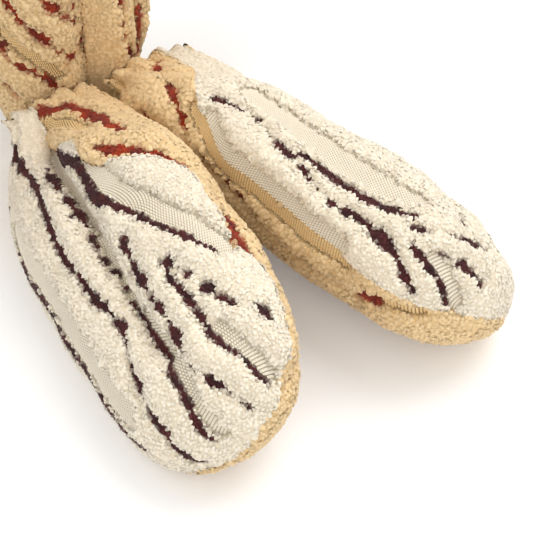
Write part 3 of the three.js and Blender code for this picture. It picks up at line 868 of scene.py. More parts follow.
        standing = lerp(self.cloth.standing, r.rim_standing, rim) + r.clump_standing * clump
        covered = inside | (stripes.edge > r.rim_bare)
        toward = stripes.toward
        toward = unit(toward - normals * (toward * normals).sum(-1, keepdims=True))
        lean = toward * np.where(inside, 0.0, r.lean * near)[..., None]
        draws = (Draw.SWAY, Draw.NOD)
        sway, nod = (self.noise(places, r.sway_lump, draw)[..., None] for draw in draws)
        return Survey(
            places=places,
            inner=self.form.place(u, bearing, moved - BACKING),
            normals=normals,
            tangents=tangents,
            tint=self.tinted(accent, ground, places),
            pile=np.where(accent, r.accent_standing, np.where(ground, 0.0, standing)) * thin,
            cover=np.where(ground, 0.0, np.where(covered, 1.0, 0.0)),
            lean=lean + r.sway * (sway * across + nod * tangents),
            girth=np.where(inside, r.stripe_girth, 1 + r.rim_girth * rim),
            to_ground=stripes.to_ground(),
        )


def plain_mesh(name: str, verts: Array, faces: Sequence[Sequence[int]]) -> Mesh:
    """Makes a mesh from places in millimetres.

    Args:
        name: Name of the mesh.
        verts: Places in millimetres.
        faces: Corner numbers of each face.

    Returns:
        The mesh, in metres.
    """
    mesh = bpy.data.meshes.new(name)
    mesh.from_pydata((np.asarray(verts) * MM).tolist(), [], [list(map(int, f)) for f in faces])
    mesh.update()
    return mesh


def quads(number: Array) -> Array:
    """Faces between the rows and columns of numbered points."""
    corners = number[:-1, :-1], number[:-1, 1:], number[1:, 1:], number[1:, :-1]
    return np.stack(corners, -1).reshape(-1, 4)


def around(number: Array) -> Array:
    """Numbers of the points along the rim of a net, back to the first one."""
    return np.concatenate([number[0, :], number[1:, -1], number[-1, -2::-1], number[-2::-1, 0]])


def unrolled(rows: int, columns: int) -> Array:
    """Flat places from 0 to 1 for the crossings of a net."""
    ways = np.linspace(0, 1, rows), np.linspace(0, 1, columns)
    down, along = np.meshgrid(*ways, indexing="ij")
    return np.stack([along, down, 0 * down], -1)


def opaque(tint: Array) -> Array:
    """Colours with a full alpha."""
    return np.concatenate([tint, np.ones((len(tint), 1))], 1)


def put(mesh: Mesh, **layers: Array) -> None:
    """Writes attributes of a mesh's points: numbers, vectors or colours, as wide as they are."""
    kinds = {1: ("FLOAT", "value"), 3: ("FLOAT_VECTOR", "vector"), 4: ("FLOAT_COLOR", "color")}
    for name, values in layers.items():
        kind, key = kinds[values.shape[1]]
        attribute = mesh.attributes.new(name, kind, "POINT")
        attribute.data.foreach_set(key, np.ascontiguousarray(values, np.float32).ravel())


def show(name: str, mesh: Mesh) -> Object:
    """Links a mesh into the scene as an object at the origin."""
    made = bpy.data.objects.new(name, mesh)
    bpy.context.scene.collection.objects.link(made)
    return made


def yarn_mesh(
    name: str, verts: Sequence[Point], faces: Sequence[Sequence[int]], tips: Array, width: float
) -> Mesh:
    """A mesh for one tuft or stitch.

    Args:
        name: Name of the mesh.
        verts: Places in millimetres.
        faces: Corner numbers of each face.
        tips: How far each place is from the root to the end of the yarn.
        width: Width over which the attribute tuft_uv spreads.

    Returns:
        The mesh, with the attributes tip and tuft_uv.
    """
    mesh = plain_mesh(name, np.array(verts), faces)
    put(mesh, tip=tips[:, None], tuft_uv=np.array(verts) * [1, 1, 0] / width)
    mesh.shade_smooth()
    return mesh


@dataclass(frozen=True)
class TuftShape:
    """A tuft of yarn: a bent bundle with a round end, on a foot that is sunk into the backing."""

    length: float
    width: float
    bulb: float
    bend: float
    twist: float
    sides: int = 4
    foot: float = -0.25
    foot_girth: float = 1.2
    shoulder: float = 0.58
    flattened: float = 0.9

    def mesh(self, name: str) -> Mesh:
        """Builds the tuft along +Z, bent towards +X."""
        verts, tips, faces = [], [], []
        for t, girth in ((self.foot, self.foot_girth), (self.shoulder, self.bulb)):
            for j in range(self.sides):
                angle = 2 * math.pi * j / self.sides + self.twist * t
                x = math.cos(angle) * girth * self.width / 2 + self.bend * t**2
                y = math.sin(angle) * girth * self.width / 2 * self.flattened
                verts.append((x, y, t * self.length))
                tips.append(t)
        verts.append((self.bend, 0, self.length))
        tips.append(1.0)
        for j in range(self.sides):
            k = (j + 1) % self.sides
            faces.append((j, k, self.sides + k, self.sides + j))
        for j in range(self.sides):
            faces.append((self.sides + j, self.sides + (j + 1) % self.sides, len(verts) - 1))
        faces.append(tuple(reversed(range(self.sides))))
        return yarn_mesh(name, verts, faces, np.array(tips), self.width)


@dataclass(frozen=True)
class StitchShape:
    """A woven stitch: a low oval dome, with its length along X."""

    length: float
    width: float
    height: float
    sides: int = 6
    rings: tuple[tuple[float, float], ...] = ((1.0, -0.15), (0.8, 0.75))
    # the stitches' place between root and end, which keeps part of the yarn's painted root shade
    tip: float = 0.8

    def mesh(self, name: str) -> Mesh:
        """Builds the stitch on the plane z = 0."""
        verts, faces, sides = [], [], self.sides
        for scale, z in self.rings:
            for j in range(sides):
                angle = 2 * math.pi * j / sides
                x = math.cos(angle) * scale * self.length / 2
                y = math.sin(angle) * scale * self.width / 2
                verts.append((x, y, z * self.height))
        verts.append((0, 0, self.height))
        for j in range(sides):
            k = (j + 1) % sides
            faces.append((j, k, sides + k, sides + j))
            faces.append((sides + j, sides + k, 2 * sides))
        faces.append(tuple(reversed(range(sides))))
        return yarn_mesh(name, verts, faces, np.full(len(verts), self.tip), self.length)


class NodeNet:
    """Short ways to add and join the nodes of a tree."""

    def __init__(self, tree: NodeTree) -> None:
        """Keeps the tree."""
        self.tree = tree

    def add(self, kind: str, values: dict | None = None, **settings: object) -> Node:
        """Adds a node.

        Args:
            kind: Type of the node.
            values: Values or sockets for its inputs, by name or number.
            **settings: Settings of the node itself.

        Returns:
            The node.
        """
        node = self.tree.nodes.new(kind)
        for key, value in settings.items():
            setattr(node, key, value)
        self.fill(node, values or {})
        return node

    def fill(self, node: Node, values: dict) -> None:
        """Gives a node values or sockets for its inputs, by name or number."""
        for key, value in values.items():
            self.feed(node.inputs[key], value)

    def feed(self, socket: NodeSocket, value: Feed) -> None:
        """Links a socket to another one, or sets its value."""
        if isinstance(value, NodeSocket):
            self.tree.links.new(value, socket)
        else:
            socket.default_value = value

    def named(self, name: str, kind: str) -> NodeSocket:
        """Reads a named attribute in a geometry tree."""
        node = self.add("GeometryNodeInputNamedAttribute", {"Name": name}, data_type=kind)
        return node.outputs["Attribute"]

    def math(self, operation: str, a: Feed, b: Feed) -> NodeSocket:
        """Works out a number from two."""
        return self.add("ShaderNodeMath", {0: a, 1: b}, operation=operation).outputs[0]

    def vector(self, operation: str, a: Feed, b: Feed) -> NodeSocket:
        """Works out a vector from two."""
        return self.add("ShaderNodeVectorMath", {0: a, 1: b}, operation=operation).outputs[0]

    def mix(self, share: Feed, a: Feed, b: Feed) -> NodeSocket:
        """Mixes two colours."""
        node = self.add("ShaderNodeMix", {"Factor": share, 6: a, 7: b}, data_type="RGBA")
        return node.outputs[2]

    def ranged(self, value: Feed, **limits: float) -> NodeSocket:
        """Maps a number from one range to another, with limits such as to_max."""
        named = {name.replace("_", " ").title(): limit for name, limit in limits.items()}
        return self.add("ShaderNodeMapRange", {"Value": value, **named}).outputs[0]

    def random(self, kind: str, low: Feed, high: Feed, seed: Feed) -> NodeSocket:
        """A random number or vector for each point."""
        node = self.add("FunctionNodeRandomValue", data_type=kind)
        limits = [s for s in node.inputs if s.enabled]
        limits[0].default_value, limits[1].default_value = low, high
        self.feed(next(s for s in node.inputs if s.name == "Seed"), seed)
        return next(s for s in node.outputs if s.enabled)

    def aligned(self, up: Feed, along: Feed) -> NodeSocket:
        """A rotation with Z along one direction and X near another."""
        axes = {"primary_axis": "Z", "secondary_axis": "X"}
        return self.add("FunctionNodeAxesToRotation", {0: up, 1: along}, **axes).outputs[0]

    def store(self, geometry: Feed, name: str, kind: str, domain: str, value: Feed) -> Feed:
        """Writes a named attribute in a geometry tree.

        Args:
            geometry: The geometry's socket.
            name: Name of the attribute.
            kind: Its data type.
            domain: What it belongs to, such as POINT.
            value: The socket that it is read from.

        Returns:
            The socket of the geometry with the attribute.
        """
        values = {"Geometry": geometry, "Name": name}
        kinds = {"data_type": kind, "domain": domain}
        node = self.add("GeometryNodeStoreNamedAttribute", values, **kinds)
        self.feed(next(s for s in node.inputs if s.name == "Value" and s.enabled), value)
        return node.outputs[0]

    def join(self, *parts: NodeSocket) -> NodeSocket:
        """Joins geometries."""
        node = self.add("GeometryNodeJoinGeometry")
        for part in parts:
            self.tree.links.new(part, node.inputs[0])
        return node.outputs[0]


class PileTree:
    """The geometry tree that grows tufts on a backing and sets stitches on its woven ground."""

    inputs = {
        "Geometry": "NodeSocketGeometry",
        "Tufts": "NodeSocketCollection",
        "Spacing": "NodeSocketFloat",
        "Seed": "NodeSocketInt",
        "Material": "NodeSocketMaterial",
        "Stitch sites": "NodeSocketObject",
        "Stitch": "NodeSocketObject",
        "Spread": "NodeSocketFloat",
    }
    crowding = 1.5
    jitter = 0.25
    girths = (0.8, 1.2)
    heights = (0.82, 1.12)
    softness = 3.0

    def __init__(self) -> None:
        """Builds the tree once."""
        self.tree = bpy.data.node_groups.new("pile_fabric", "GeometryNodeTree")
        self.sockets: dict[str, str] = {}
        face = self.tree.interface
        for name, kind in self.inputs.items():
            made = face.new_socket(name, in_out="INPUT", socket_type=kind)
            self.sockets[name] = made.identifier
        face.new_socket("Geometry", in_out="OUTPUT", socket_type="NodeSocketGeometry")
        net = NodeNet(self.tree)
        given = net.add("NodeGroupInput").outputs
        tufts = self.tufts(net, given)
        both = net.join(self.stitches(net, given), tufts)
        shade = net.random("FLOAT", 0.0, 1.0, given["Seed"])
        shaded = net.store(both, "shade", "FLOAT", "INSTANCE", shade)
        real = net.add("GeometryNodeRealizeInstances", {0: shaded}).outputs[0]
        own = {0: net.named("tuft_uv", "FLOAT_VECTOR"), "Scale": given["Spread"]}
        wide = net.add("ShaderNodeVectorMath", own, operation="SCALE").outputs[0]
        flat = net.vector("ADD", net.named("root_uv", "FLOAT_VECTOR"), wide)
        every = net.join(net.store(real, UV_NAME, "FLOAT2", "CORNER", flat), given["Geometry"])
        finish = {"Geometry": every, "Material": given["Material"]}
        net.add("NodeGroupOutput", {0: net.add("GeometryNodeSetMaterial", finish).outputs[0]})

    def tufts(self, net: NodeNet, given: NodeOutputs) -> NodeSocket:
        """Adds the nodes that set tufts over the backing.

        Args:
            net: The tree's net.
            given: The tree's own inputs.

        Returns:
            The socket of the tufts.
        """
        seed, spacing = given["Seed"], given["Spacing"]
        densest = net.math("DIVIDE", self.crowding, net.math("MULTIPLY", spacing, spacing))
        spread = net.add(
            "GeometryNodeDistributePointsOnFaces",
            {"Mesh": given["Geometry"], "Distance Min": spacing, "Density Max": densest},
            distribute_method="POISSON",
        )
        net.fill(spread, {"Density Factor": net.named("cover", "FLOAT"), "Seed": seed})
        rise = spread.outputs["Normal"]
        jitter = net.random("FLOAT_VECTOR", (-self.jitter,) * 3, (self.jitter,) * 3, seed)
        leaning = net.vector("ADD", net.named("lean", "FLOAT_VECTOR"), jitter)
        turn = net.aligned(net.vector("ADD", rise, leaning), leaning)
        uneven = net.random("FLOAT", *self.girths, seed)
        girth = net.math("MULTIPLY", net.named("girth", "FLOAT"), uneven)
        uneven = net.random("FLOAT", *self.heights, seed)
        tall = net.math("MULTIPLY", net.named("pile", "FLOAT"), uneven)
        shapes = net.add(
            "GeometryNodeCollectionInfo",
            {"Collection": given["Tufts"], "Separate Children": True, "Reset Children": True},
        )
        sites = net.store(spread.outputs["Points"], "rise", "FLOAT_VECTOR", "POINT", rise)
        return net.add(
            "GeometryNodeInstanceOnPoints",
            {
                "Points": sites,
                "Instance": shapes.outputs[0],
                "Pick Instance": True,
                "Rotation": turn,
                "Scale": net.add("ShaderNodeCombineXYZ", {0: girth, 1: girth, 2: tall}).outputs[0],
            },
        ).outputs[0]

    @staticmethod
    def stitches(net: NodeNet, given: NodeOutputs) -> NodeSocket:
        """Adds the nodes that set stitches at their sites.

        Args:
            net: The tree's net.
            given: The tree's own inputs.

        Returns:
            The socket of the stitches.
        """
        sites, stitch = (
            net.add("GeometryNodeObjectInfo", {"Object": given[name]}).outputs["Geometry"]
            for name in ("Stitch sites", "Stitch")
        )
        lay = net.aligned(net.named("rise", "FLOAT_VECTOR"), net.named("run", "FLOAT_VECTOR"))
        values = {"Points": sites, "Instance": stitch, "Rotation": lay}
        return net.add("GeometryNodeInstanceOnPoints", values).outputs[0]

    def grow(self, backing: Object, inputs: dict[str, object]) -> None:
        """Turns a backing into finished fabric, as a plain mesh.

        Args:
            backing: The backing's object, whose mesh is exchanged.
            inputs: Values of the tree's inputs, by name.
        """
        modifier = backing.modifiers.new("pile", "NODES")
        modifier.node_group = self.tree
        for name, value in inputs.items():
            modifier[self.sockets[name]] = value
        graph = bpy.context.evaluated_depsgraph_get()
        mesh = bpy.data.meshes.new_from_object(
            backing.evaluated_get(graph), preserve_all_data_layers=True, depsgraph=graph
        )
        backing.modifiers.clear()
        backing.data = mesh
        own, root = np.zeros((2, 3 * len(mesh.vertices)), np.float32)
        mesh.vertex_normals.foreach_get("vector", own)
        mesh.attributes["rise"].data.foreach_get("vector", root)
        soft = unit((own + self.softness * root).reshape(-1, 3))
        mesh.normals_split_custom_set_from_vertices(soft.tolist())


class Effects:
    """Shader node groups that more than one finish uses, each built once."""

    tuft_shades = (0.93, 1.04)
    fibre_shades = (0.9, 1.07)
    fibre_contrast = (0.3, 0.7)
    fibre_detail = 3.0
    mottle_detail = 4.0

    def __init__(self) -> None:
        """Builds the groups."""
        self.yarn = self.yarn_group()
        self.mottle = self.mottle_group()

    @staticmethod
    def blank(name: str, inputs: dict[str, str], outputs: dict[str, str]) -> NodeNet:
        """An empty group.

        Args:
            name: Name of the group.
            inputs: Types of its inputs, by name.
            outputs: Types of its outputs, by name.

        Returns:
            The group's net.
        """
        tree = bpy.data.node_groups.new(name, "ShaderNodeTree")
        for way, sockets in (("INPUT", inputs), ("OUTPUT", outputs)):
            for label, kind in sockets.items():
                tree.interface.new_socket(label, in_out=way, socket_type=f"NodeSocket{kind}")
        return NodeNet(tree)

    @staticmethod
    def speckle(net: NodeNet, scale: Feed, detail: float) -> NodeSocket:
        """Noise over the object's own coordinates."""
        spot = net.add("ShaderNodeTexCoord").outputs["Object"]
        noise = net.add("ShaderNodeTexNoise", {"Vector": spot, "Scale": scale, "Detail": detail})
        return noise.outputs["Fac"]

    def yarn_group(self) -> NodeTree:
        """Yarn colour: the tint, darkened at the root by painted shade, uneven in tufts and fibres.
        """
        net = self.blank("yarn", {"Painted Root Shade": "Color", "Fibre Scale": "Float"}, {"Color": "Color"})
        given = net.add("NodeGroupInput").outputs
        tint, tip, shade = (
            net.add("ShaderNodeAttribute", attribute_name=name).outputs[output]
            for name, output in (("tint", "Color"), ("tip", "Fac"), ("shade", "Fac"))
        )
        # painted shade: the tint is darkened towards the roots of tufts and on the backing, where
        # tip reads 0
        body = net.mix(tip, net.vector("MULTIPLY", tint, given["Painted Root Shade"]), tint)
        tufts = net.ranged(shade, to_min=self.tuft_shades[0], to_max=self.tuft_shades[1])
        fibres = net.ranged(
            self.speckle(net, given["Fibre Scale"], self.fibre_detail),
            from_min=self.fibre_contrast[0], from_max=self.fibre_contrast[1],
            to_min=self.fibre_shades[0], to_max=self.fibre_shades[1],
        )
        total = net.math("MULTIPLY", tufts, fibres)
        level = net.add("ShaderNodeCombineXYZ", {0: total, 1: total, 2: total}).outputs[0]
        net.add("NodeGroupOutput", {"Color": net.vector("MULTIPLY", body, level)})
        return net.tree

    def mottle_group(self) -> NodeTree:
        """Uneven colour between a dark and a light one, and the height that goes with it."""
        inputs = {"Dark": "Color", "Light": "Color", "Scale": "Float"}
        net = self.blank("mottle", inputs, {"Color": "Color", "Height": "Float"})
        given = net.add("NodeGroupInput").outputs
        height = self.speckle(net, given["Scale"], self.mottle_detail)
        colour = net.mix(height, given["Dark"], given["Light"])
        net.add("NodeGroupOutput", {"Color": colour, "Height": height})
        return net.tree


def blank_material(name: str) -> tuple[Material, NodeNet, Node]:
    """A new material with its net and its shader."""
    made = bpy.data.materials.new(name)
    made.use_nodes = True
    return made, NodeNet(made.node_tree), made.node_tree.nodes["Principled BSDF"]


@dataclass(frozen=True)
class PileFinish:
    """Pile yarn, tinted by the fabric's stripes, with painted shade that darkens it towards its
    roots.
    """

    name: str
    sheen: float
    # painted shade: the share of the tint left at the roots of tufts and on the backing between
    # them
    root: Colour = (0.96, 0.92, 0.84)
    fibre_scale: float = 2600.0
    roughness: float = 0.9
    sheen_roughness: float = 0.5

    def material(self, effects: Effects) -> Material:
        """Makes the material from the shared effects."""
        made, net, shader = blank_material(self.name)
        values = {"Painted Root Shade": (*self.root, 1.0), "Fibre Scale": self.fibre_scale}
        yarn = net.add("ShaderNodeGroup", values, node_tree=effects.yarn)
        net.fill(shader, {"Base Color": yarn.outputs["Color"], "Roughness": self.roughness})
        net.fill(shader, {"Sheen Weight": self.sheen, "Sheen Roughness": self.sheen_roughness})
        return made


@dataclass(frozen=True)
class MottledFinish:
    """A mottled finish, for wadding and moulded plastic."""

    name: str
    colour: Colour
    roughness: float
    scale: float
    darker: float = 0.75
    lighter: float = 1.1
    bump: float = 0.3
    bump_depth: float = 0.0005

    def material(self, effects: Effects) -> Material:
        """Makes the material from the shared effects."""
        made, net, shader = blank_material(self.name)
        values = {
            "Dark": (*(self.darker * c for c in self.colour), 1.0),
            "Light": (*(min(self.lighter * c, 1.0) for c in self.colour), 1.0),
            "Scale": self.scale,
        }
        mottle = net.add("ShaderNodeGroup", values, node_tree=effects.mottle).outputs
        relief = {"Height": mottle["Height"], "Strength": self.bump, "Distance": self.bump_depth}
        bump = net.add("ShaderNodeBump", relief).outputs[0]
        look = {"Base Color": mottle["Color"], "Roughness": self.roughness, "Normal": bump}
        net.fill(shader, look)
        return made


FIBRE = MottledFinish("fibre", colour=(0.9, 0.89, 0.86), roughness=0.95, scale=900.0)
PLASTIC = MottledFinish("moulded", colour=(0.86, 0.84, 0.78), roughness=0.45, scale=180.0)
REED = MottledFinish("reed", colour=(0.55, 0.08, 0.05), roughness=0.25, scale=300.0)


class FabricMill:
    """Makes panels into pieces: it holds the tuft shapes, the tree and the pile finishes."""

    stitch = StitchShape(length=0.92, width=0.66, height=0.45)
    thread = StitchShape(length=2.6, width=0.55, height=0.4)
    tuft_kinds = 4
    shortest, longer = 0.92, 0.05  # of the first kind, and more for each next one
    least_bend, more_bend = 0.6, 0.3
    more_twist = 0.5
    uv_spread = 0.002
    site_pitch = 0.95
    site_width = 0.78
    site_overlap = 0.9

    def __init__(self, effects: Effects) -> None:
        """Prepares the tree, the tufts and the finishes."""
        self.tree = PileTree()
        self.finishes = {
            cloth.dye: PileFinish(f"pile_{cloth.dye.value}", cloth.sheen).material(effects)
            for cloth in CLOTHS
        }
        self.stitches = {
            name: bpy.data.objects.new(name, shape.mesh("stitch"))
            for name, shape in (("stitch", self.stitch), ("thread", self.thread))
        }
        self.tufts = {cloth.dye: self.tuft_set(cloth) for cloth in CLOTHS}

    def tuft_set(self, cloth: Cloth) -> Collection:
        """A few tufts of one dye that differ in length, bend and twist."""
        made = bpy.data.collections.new(f"tufts_{cloth.dye.value}")
        for i in range(self.tuft_kinds):
            length = cloth.tuft_length * (self.shortest + self.longer * i)
            bend = cloth.tuft_bend * (self.least_bend + self.more_bend * i)
            twist = self.more_twist * i
            shape = TuftShape(length, cloth.tuft_width, cloth.tuft_bulb, bend, twist)
            tuft = bpy.data.objects.new(f"tuft_{cloth.dye.value}_{i}", shape.mesh("tuft"))
            made.objects.link(tuft)
        return made

    def weave(self, panel: Panel) -> Object:
        """Makes one panel.

        Args:
            panel: The panel's form, edges, stripes and folds.

        Returns:
            The finished piece, which rides on the panel's body and stands for its node.
        """
        piece = show(f"{panel.node}_pile", self.backing(panel))
        sites = bpy.data.objects.new("sites", self.sites(panel))
        self.tree.grow(
            piece,
            {
                "Tufts": self.tufts[panel.cloth.dye],
                "Spacing": panel.spacing * MM,
                "Seed": panel.seed,
                "Material": self.finishes[panel.cloth.dye],
                "Stitch sites": sites,
                "Stitch": self.stitches["thread" if panel.woven else "stitch"],
                "Spread": self.uv_spread,
            },
        )
        bpy.data.objects.remove(sites)
        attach(piece, panel.body)
        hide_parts(panel.node)
        LOG.info("%s: %d faces", piece.name, len(piece.data.polygons))
        return piece

    @staticmethod
    def shell(found: Survey) -> tuple[list[list[int]], Array]:
        """Faces of a backing: its outer wall, a coarser inner wall and the rim between them.

        Args:
            found: The survey of the outer wall.

        Returns:
            The faces, and the numbers of the outer points that the inner wall has too.
        """
        rows, columns = found.pile.shape
        number = np.arange(rows * columns).reshape(rows, columns)
        coarse = number[::COARSER, ::COARSER]
        inner = number.size + np.arange(coarse.size).reshape(coarse.shape)
        faces = quads(number).tolist() + quads(inner)[:, ::-1].tolist()
        rim, lining = around(number), around(inner)
        for k in range(len(lining) - 1):
            edge = rim[COARSER * k : COARSER * (k + 1) + 1]
            faces.append([*lining[k : k + 2], *edge[::-1]])
        i, j = rows // 2, columns // 2
        middle = found.places[i, j]
        turned = np.cross(found.places[i, j + 1] - middle, found.places[i + 1, j] - middle)
        if (turned * found.normals[i, j]).sum() < 0:
            faces = [face[::-1] for face in faces]
        return faces, coarse.reshape(-1)

    @classmethod
    def backing(cls, panel: Panel) -> Mesh:
        """The panel's backing as a thin closed shell with the fabric's attributes."""
        found = panel.survey(*panel.net(panel.grid, panel.grid))
        faces, kept = cls.shell(found)
        count = found.pile.size
        verts = [found.places.reshape(-1, 3), found.inner.reshape(-1, 3)[kept]]
        mesh = plain_mesh(panel.node, np.concatenate(verts), faces)

        def spread(values: Array) -> Array:
            """Values of the outer wall's points, followed by those of the inner wall's."""
            flat = values.reshape(count, -1)
            return np.concatenate([flat, flat[kept]])

        outer = np.repeat([1.0, 0.0], [count, len(kept)])[:, None]
        share = spread(unrolled(*found.pile.shape))
        put(mesh, tint=opaque(spread(found.tint)), pile=spread(found.pile))
        put(mesh, cover=spread(found.cover) * outer, girth=spread(found.girth))
        put(mesh, lean=spread(found.lean), root_uv=share)
        corners = np.zeros(len(mesh.loops), np.int32)
        mesh.loops.foreach_get("vertex_index", corners)
        layer = mesh.uv_layers.new(name=UV_NAME)
        layer.data.foreach_set("uv", share[corners, :2].astype(np.float32).ravel())
        mesh.shade_smooth()
        return mesh

    @classmethod
    def sites(cls, panel: Panel) -> Mesh:
        """Places of the woven stitches on the panel's ground strips, in offset rows."""
        u, bearing = panel.net(cls.site_pitch, cls.site_width)
        step = (bearing[:, 1:2] - bearing[:, :1]) / 2
        found = panel.survey(u, bearing + step * (np.arange(len(u))[:, None] % 2))
        kept = found.to_ground < cls.site_overlap
        kept[:, -1] = False
        mesh = plain_mesh("sites", found.places[kept], [])
        tint = np.tile(np.array(panel.cloth.ground), (int(kept.sum()), 1))
        put(mesh, tint=opaque(tint), rise=found.normals[kept], run=found.tangents[kept])
        put(mesh, root_uv=unrolled(*u.shape)[kept])
        return mesh


def always(degrees: float) -> Bearing:
    """A panel's edge that keeps one bearing."""
    return partial(np.full_like, fill_value=degrees)


def accent(width: float, *path: tuple[float, float], **details: float) -> Stripe:
    """An accent stripe, with details such as how broken it is."""
    return Stripe(Zone.ACCENT, width, path, **{"broken": 0.3, **details})


def ground(width: float, *path: tuple[float, float], **details: float) -> Stripe:
    """A strip of woven ground, with details such as its level."""
    return Stripe(Zone.GROUND, width, path, **{"broken": 0.08, "seed": 3.0, **details})


LEG_SIZES = LimbSizes(
    length=141.5, tip=27.0, flare=46.0, half_width=29.5, half_depth=20.5, root_half_width=14.5,
    root_half_depth=5.0,
)
ARM_SIZES = LimbSizes(
    length=88.0, tip=22.0, flare=34.0, half_width=18.0, half_depth=14.0, root_half_width=8.0,
    root_half_depth=4.0,
)
EAR_SIZES = LimbSizes(
    length=62.0, tip=22.0, flare=30.0, half_width=19.0, half_depth=5.0, root_half_width=11.0,
    root_half_depth=2.5,
)
ARM_BEND = (24.0, 42.0)  # degrees below level, at the root and past the flare
EAR_BEND = (18.0, 84.0)


@dataclass
class LegAssembly:
    """A leg, with a cream panel over its top and outer side and a tan one over the rest."""

    name: str
    side: float
    slant: Slant
    swells: tuple[Swell, ...]
    cream_stripes: Sequence[Stripe]
    tan_stripes: Sequence[Stripe]
    creases: Sequence[Crease]
    seed: int
    outer_seam: float = 180.0
    half_seam: float = 0.35
    pleats: float = 1.0
    cream_spacing: float = 0.8
    cream_grid: float = 0.78
    tan_spacing: float = 0.97
    tan_grid: float = 0.75
    filling_depth: float = 2.3
    form: LegForm = field(init=False)

    def __post_init__(self) -> None:
        """Places the leg at its hip."""
        hip = joint_place("right_hip" if self.side < 0 else "left_hip")
        self.form = LegForm(LEG_SIZES, hip, self.side, swells=self.swells)

    def inner_seam(self, u: Array, turn: float, gap: float) -> Array:
        """Bearing of an edge at the seam that slants over the top and follows the inner edge.

        Args:
            u: Places along the leg.
            turn: Whole turns before the seam, in degrees.
            gap: How far the edge lies beyond the seam.

        Returns:
            The edge's bearing at each place.
        """
        return self.slant.at(self.form.straight(u)) + turn + gap

    def panels(self) -> list[Panel]:
        """The leg's two panels."""
        shared = {"body": self.name, "form": self.form, "creases": self.creases}
        shared["pleats"] = self.pleats
        cream = Panel(
            node=f"{self.name}_cream_panel",
            cloth=CREAM,
            start=partial(self.inner_seam, turn=0.0, gap=self.half_seam),
            end=always(self.outer_seam - self.half_seam),
            spacing=self.cream_spacing,
            grid=self.cream_grid,
            stripes=self.cream_stripes,
            seed=self.seed,
            **shared,
        )
        tan = Panel(
            node=f"{self.name}_tan_panel",
            cloth=TAN,
            start=always(self.outer_seam + self.half_seam),
            end=partial(self.inner_seam, turn=360.0, gap=-self.half_seam),
            spacing=self.tan_spacing,
            grid=self.tan_grid,
            stripes=self.tan_stripes,
            seed=self.seed + 1,
            **shared,
        )
        return [cream, tan]

    def filling(self) -> "Filling":
        """The fibre inside the leg."""
        sizes = {"depth": self.filling_depth, "span": LIMB_FILLING_SPAN}
        node = f"{self.name}_filling"
        return Filling(node, self.name, self.form, creases=self.creases, **sizes)


RIGHT_LEG = LegAssembly(
    name="right_leg",
    side=-1,
    outer_seam=194,
    slant=Slant(118, ((4, 34, -50), (40, 72, -54), (98, 113, -11))),
    swells=(Swell(5, 0, (30, 60), (88, 122)),),
    seed=11,
    cream_stripes=(
        accent(
            2.6, (6, 168), (12, 146), (21, 121), (30, 110), (38, 108), (50, 110), (62, 112),
            broken=0.2,
        ),
        accent(
            2.2, (62, 112), (71, 108), (79, 109), (89, 105), (98, 106), (105, 115), (113, 121),
            broken=0.4,
        ),
        accent(
            2.2, (113, 121), (121, 128), (127, 135), (129, 144), (133, 158), (135, 174), broken=0.3,
            seed=1,
        ),
        accent(
            2.6, (20, 166), (50, 158), (62, 154), (76, 153), (89, 155), (98, 162), (109, 164),
            (120, 160), level=0.8,
        ),
        ground(
            7.0, (34, 144), (48, 140), (61, 137), (75, 136), (86, 137), (95, 141), (104, 143),
            (112, 142), level=0.9,
        ),
        accent(
            1.8, (78, 88), (89, 91), (101, 94), (116, 96), (126, 102), (130, 108), (134, 119),
            (138, 134), seed=2,
        ),
        ground(2.4, (97, 87), (106, 89), (117, 91), (123, 93), (130, 99), (136, 109), (139, 122)),
        accent(
            2.0, (76, 72), (86, 76), (99, 78), (106, 78), (117, 84), (125, 86), (133, 80),
            (137, 76), (140, 66), broken=0.5, seed=4,
        ),
        accent(
            1.9, (97, 63), (109, 62), (119, 64), (124, 63), (130, 54), (133, 50), (136, 44),
            (138, 28), broken=0.2, seed=5,
        ),
        ground(3.2, (119, 58), (126, 53), (131, 46), (136, 33), (137, 20)),
        accent(
            2.6, (93, 60), (101, 54), (108, 49), (113, 44), (116, 40), (118, 30), (120, 23),
            (124, 18), broken=0.6, seed=6,
        ),
        accent(
            2.9, (18, 97), (27, 86), (36, 76), (43, 70), (52, 72), (57, 72), (61, 69), broken=0.1,
            seed=8,
        ),
        accent(
            2.2, (61, 69), (66, 64), (72, 58), (78, 53), (83, 48), (89, 43), (94, 38), (99, 30),
            broken=0.15, seed=9,
        ),
        ground(6.0, (42, 66), (56, 62), (65, 55), (73, 47), (83, 37), (92, 29), (97, 23)),
        ground(3.0, (14, 106), (20, 100), (38, 87), (49, 84), (67, 84), (83, 88), (93, 91)),
        accent(1.2, (24, 105), (38, 95), (49, 91), (62, 90), (78, 92), broken=0.5, seed=10),
    ),
    tan_stripes=(
        accent(
            4.0, (1, 112), (2, 100), (5, 82), (13, 58), (23, 45), (34, 36), (40, 34), broken=0.12,
        ),
        ground(3.6, (6, 104), (11, 88), (17, 70), (25, 58)),
        accent(3.8, (42, 56), (48, 48), (54, 35), (60, 22), (64, 14), broken=0.25, seed=2),
        accent(3.6, (76, -4), (84, 1), (90, 5), (96, 7), (102, 7), (107, 2), broken=0.3, seed=3),
        accent(2.4, (118, -10), (126, -24), (131, -31), (137, -20), (139, 0), broken=0.6, seed=6),
        ground(3.6, (30, -20), (70, -40), (125, -44)),
        accent(2.2, (30, -34), (70, -52), (125, -56), seed=4),
        accent(2.2, (30, -62), (70, -82), (125, -84), seed=5),
        ground(3.6, (30, -96), (70, -110), (125, -112)),
    ),
    creases=(
        Crease(((6, 116), (20, 100), (38, 87), (49, 84), (62, 84)), 6.5, 3.4),
        Crease(((62, 84), (74, 86), (83, 88), (91, 91), (101, 95), (112, 94)), 4.0, 3.4),
    ),
)
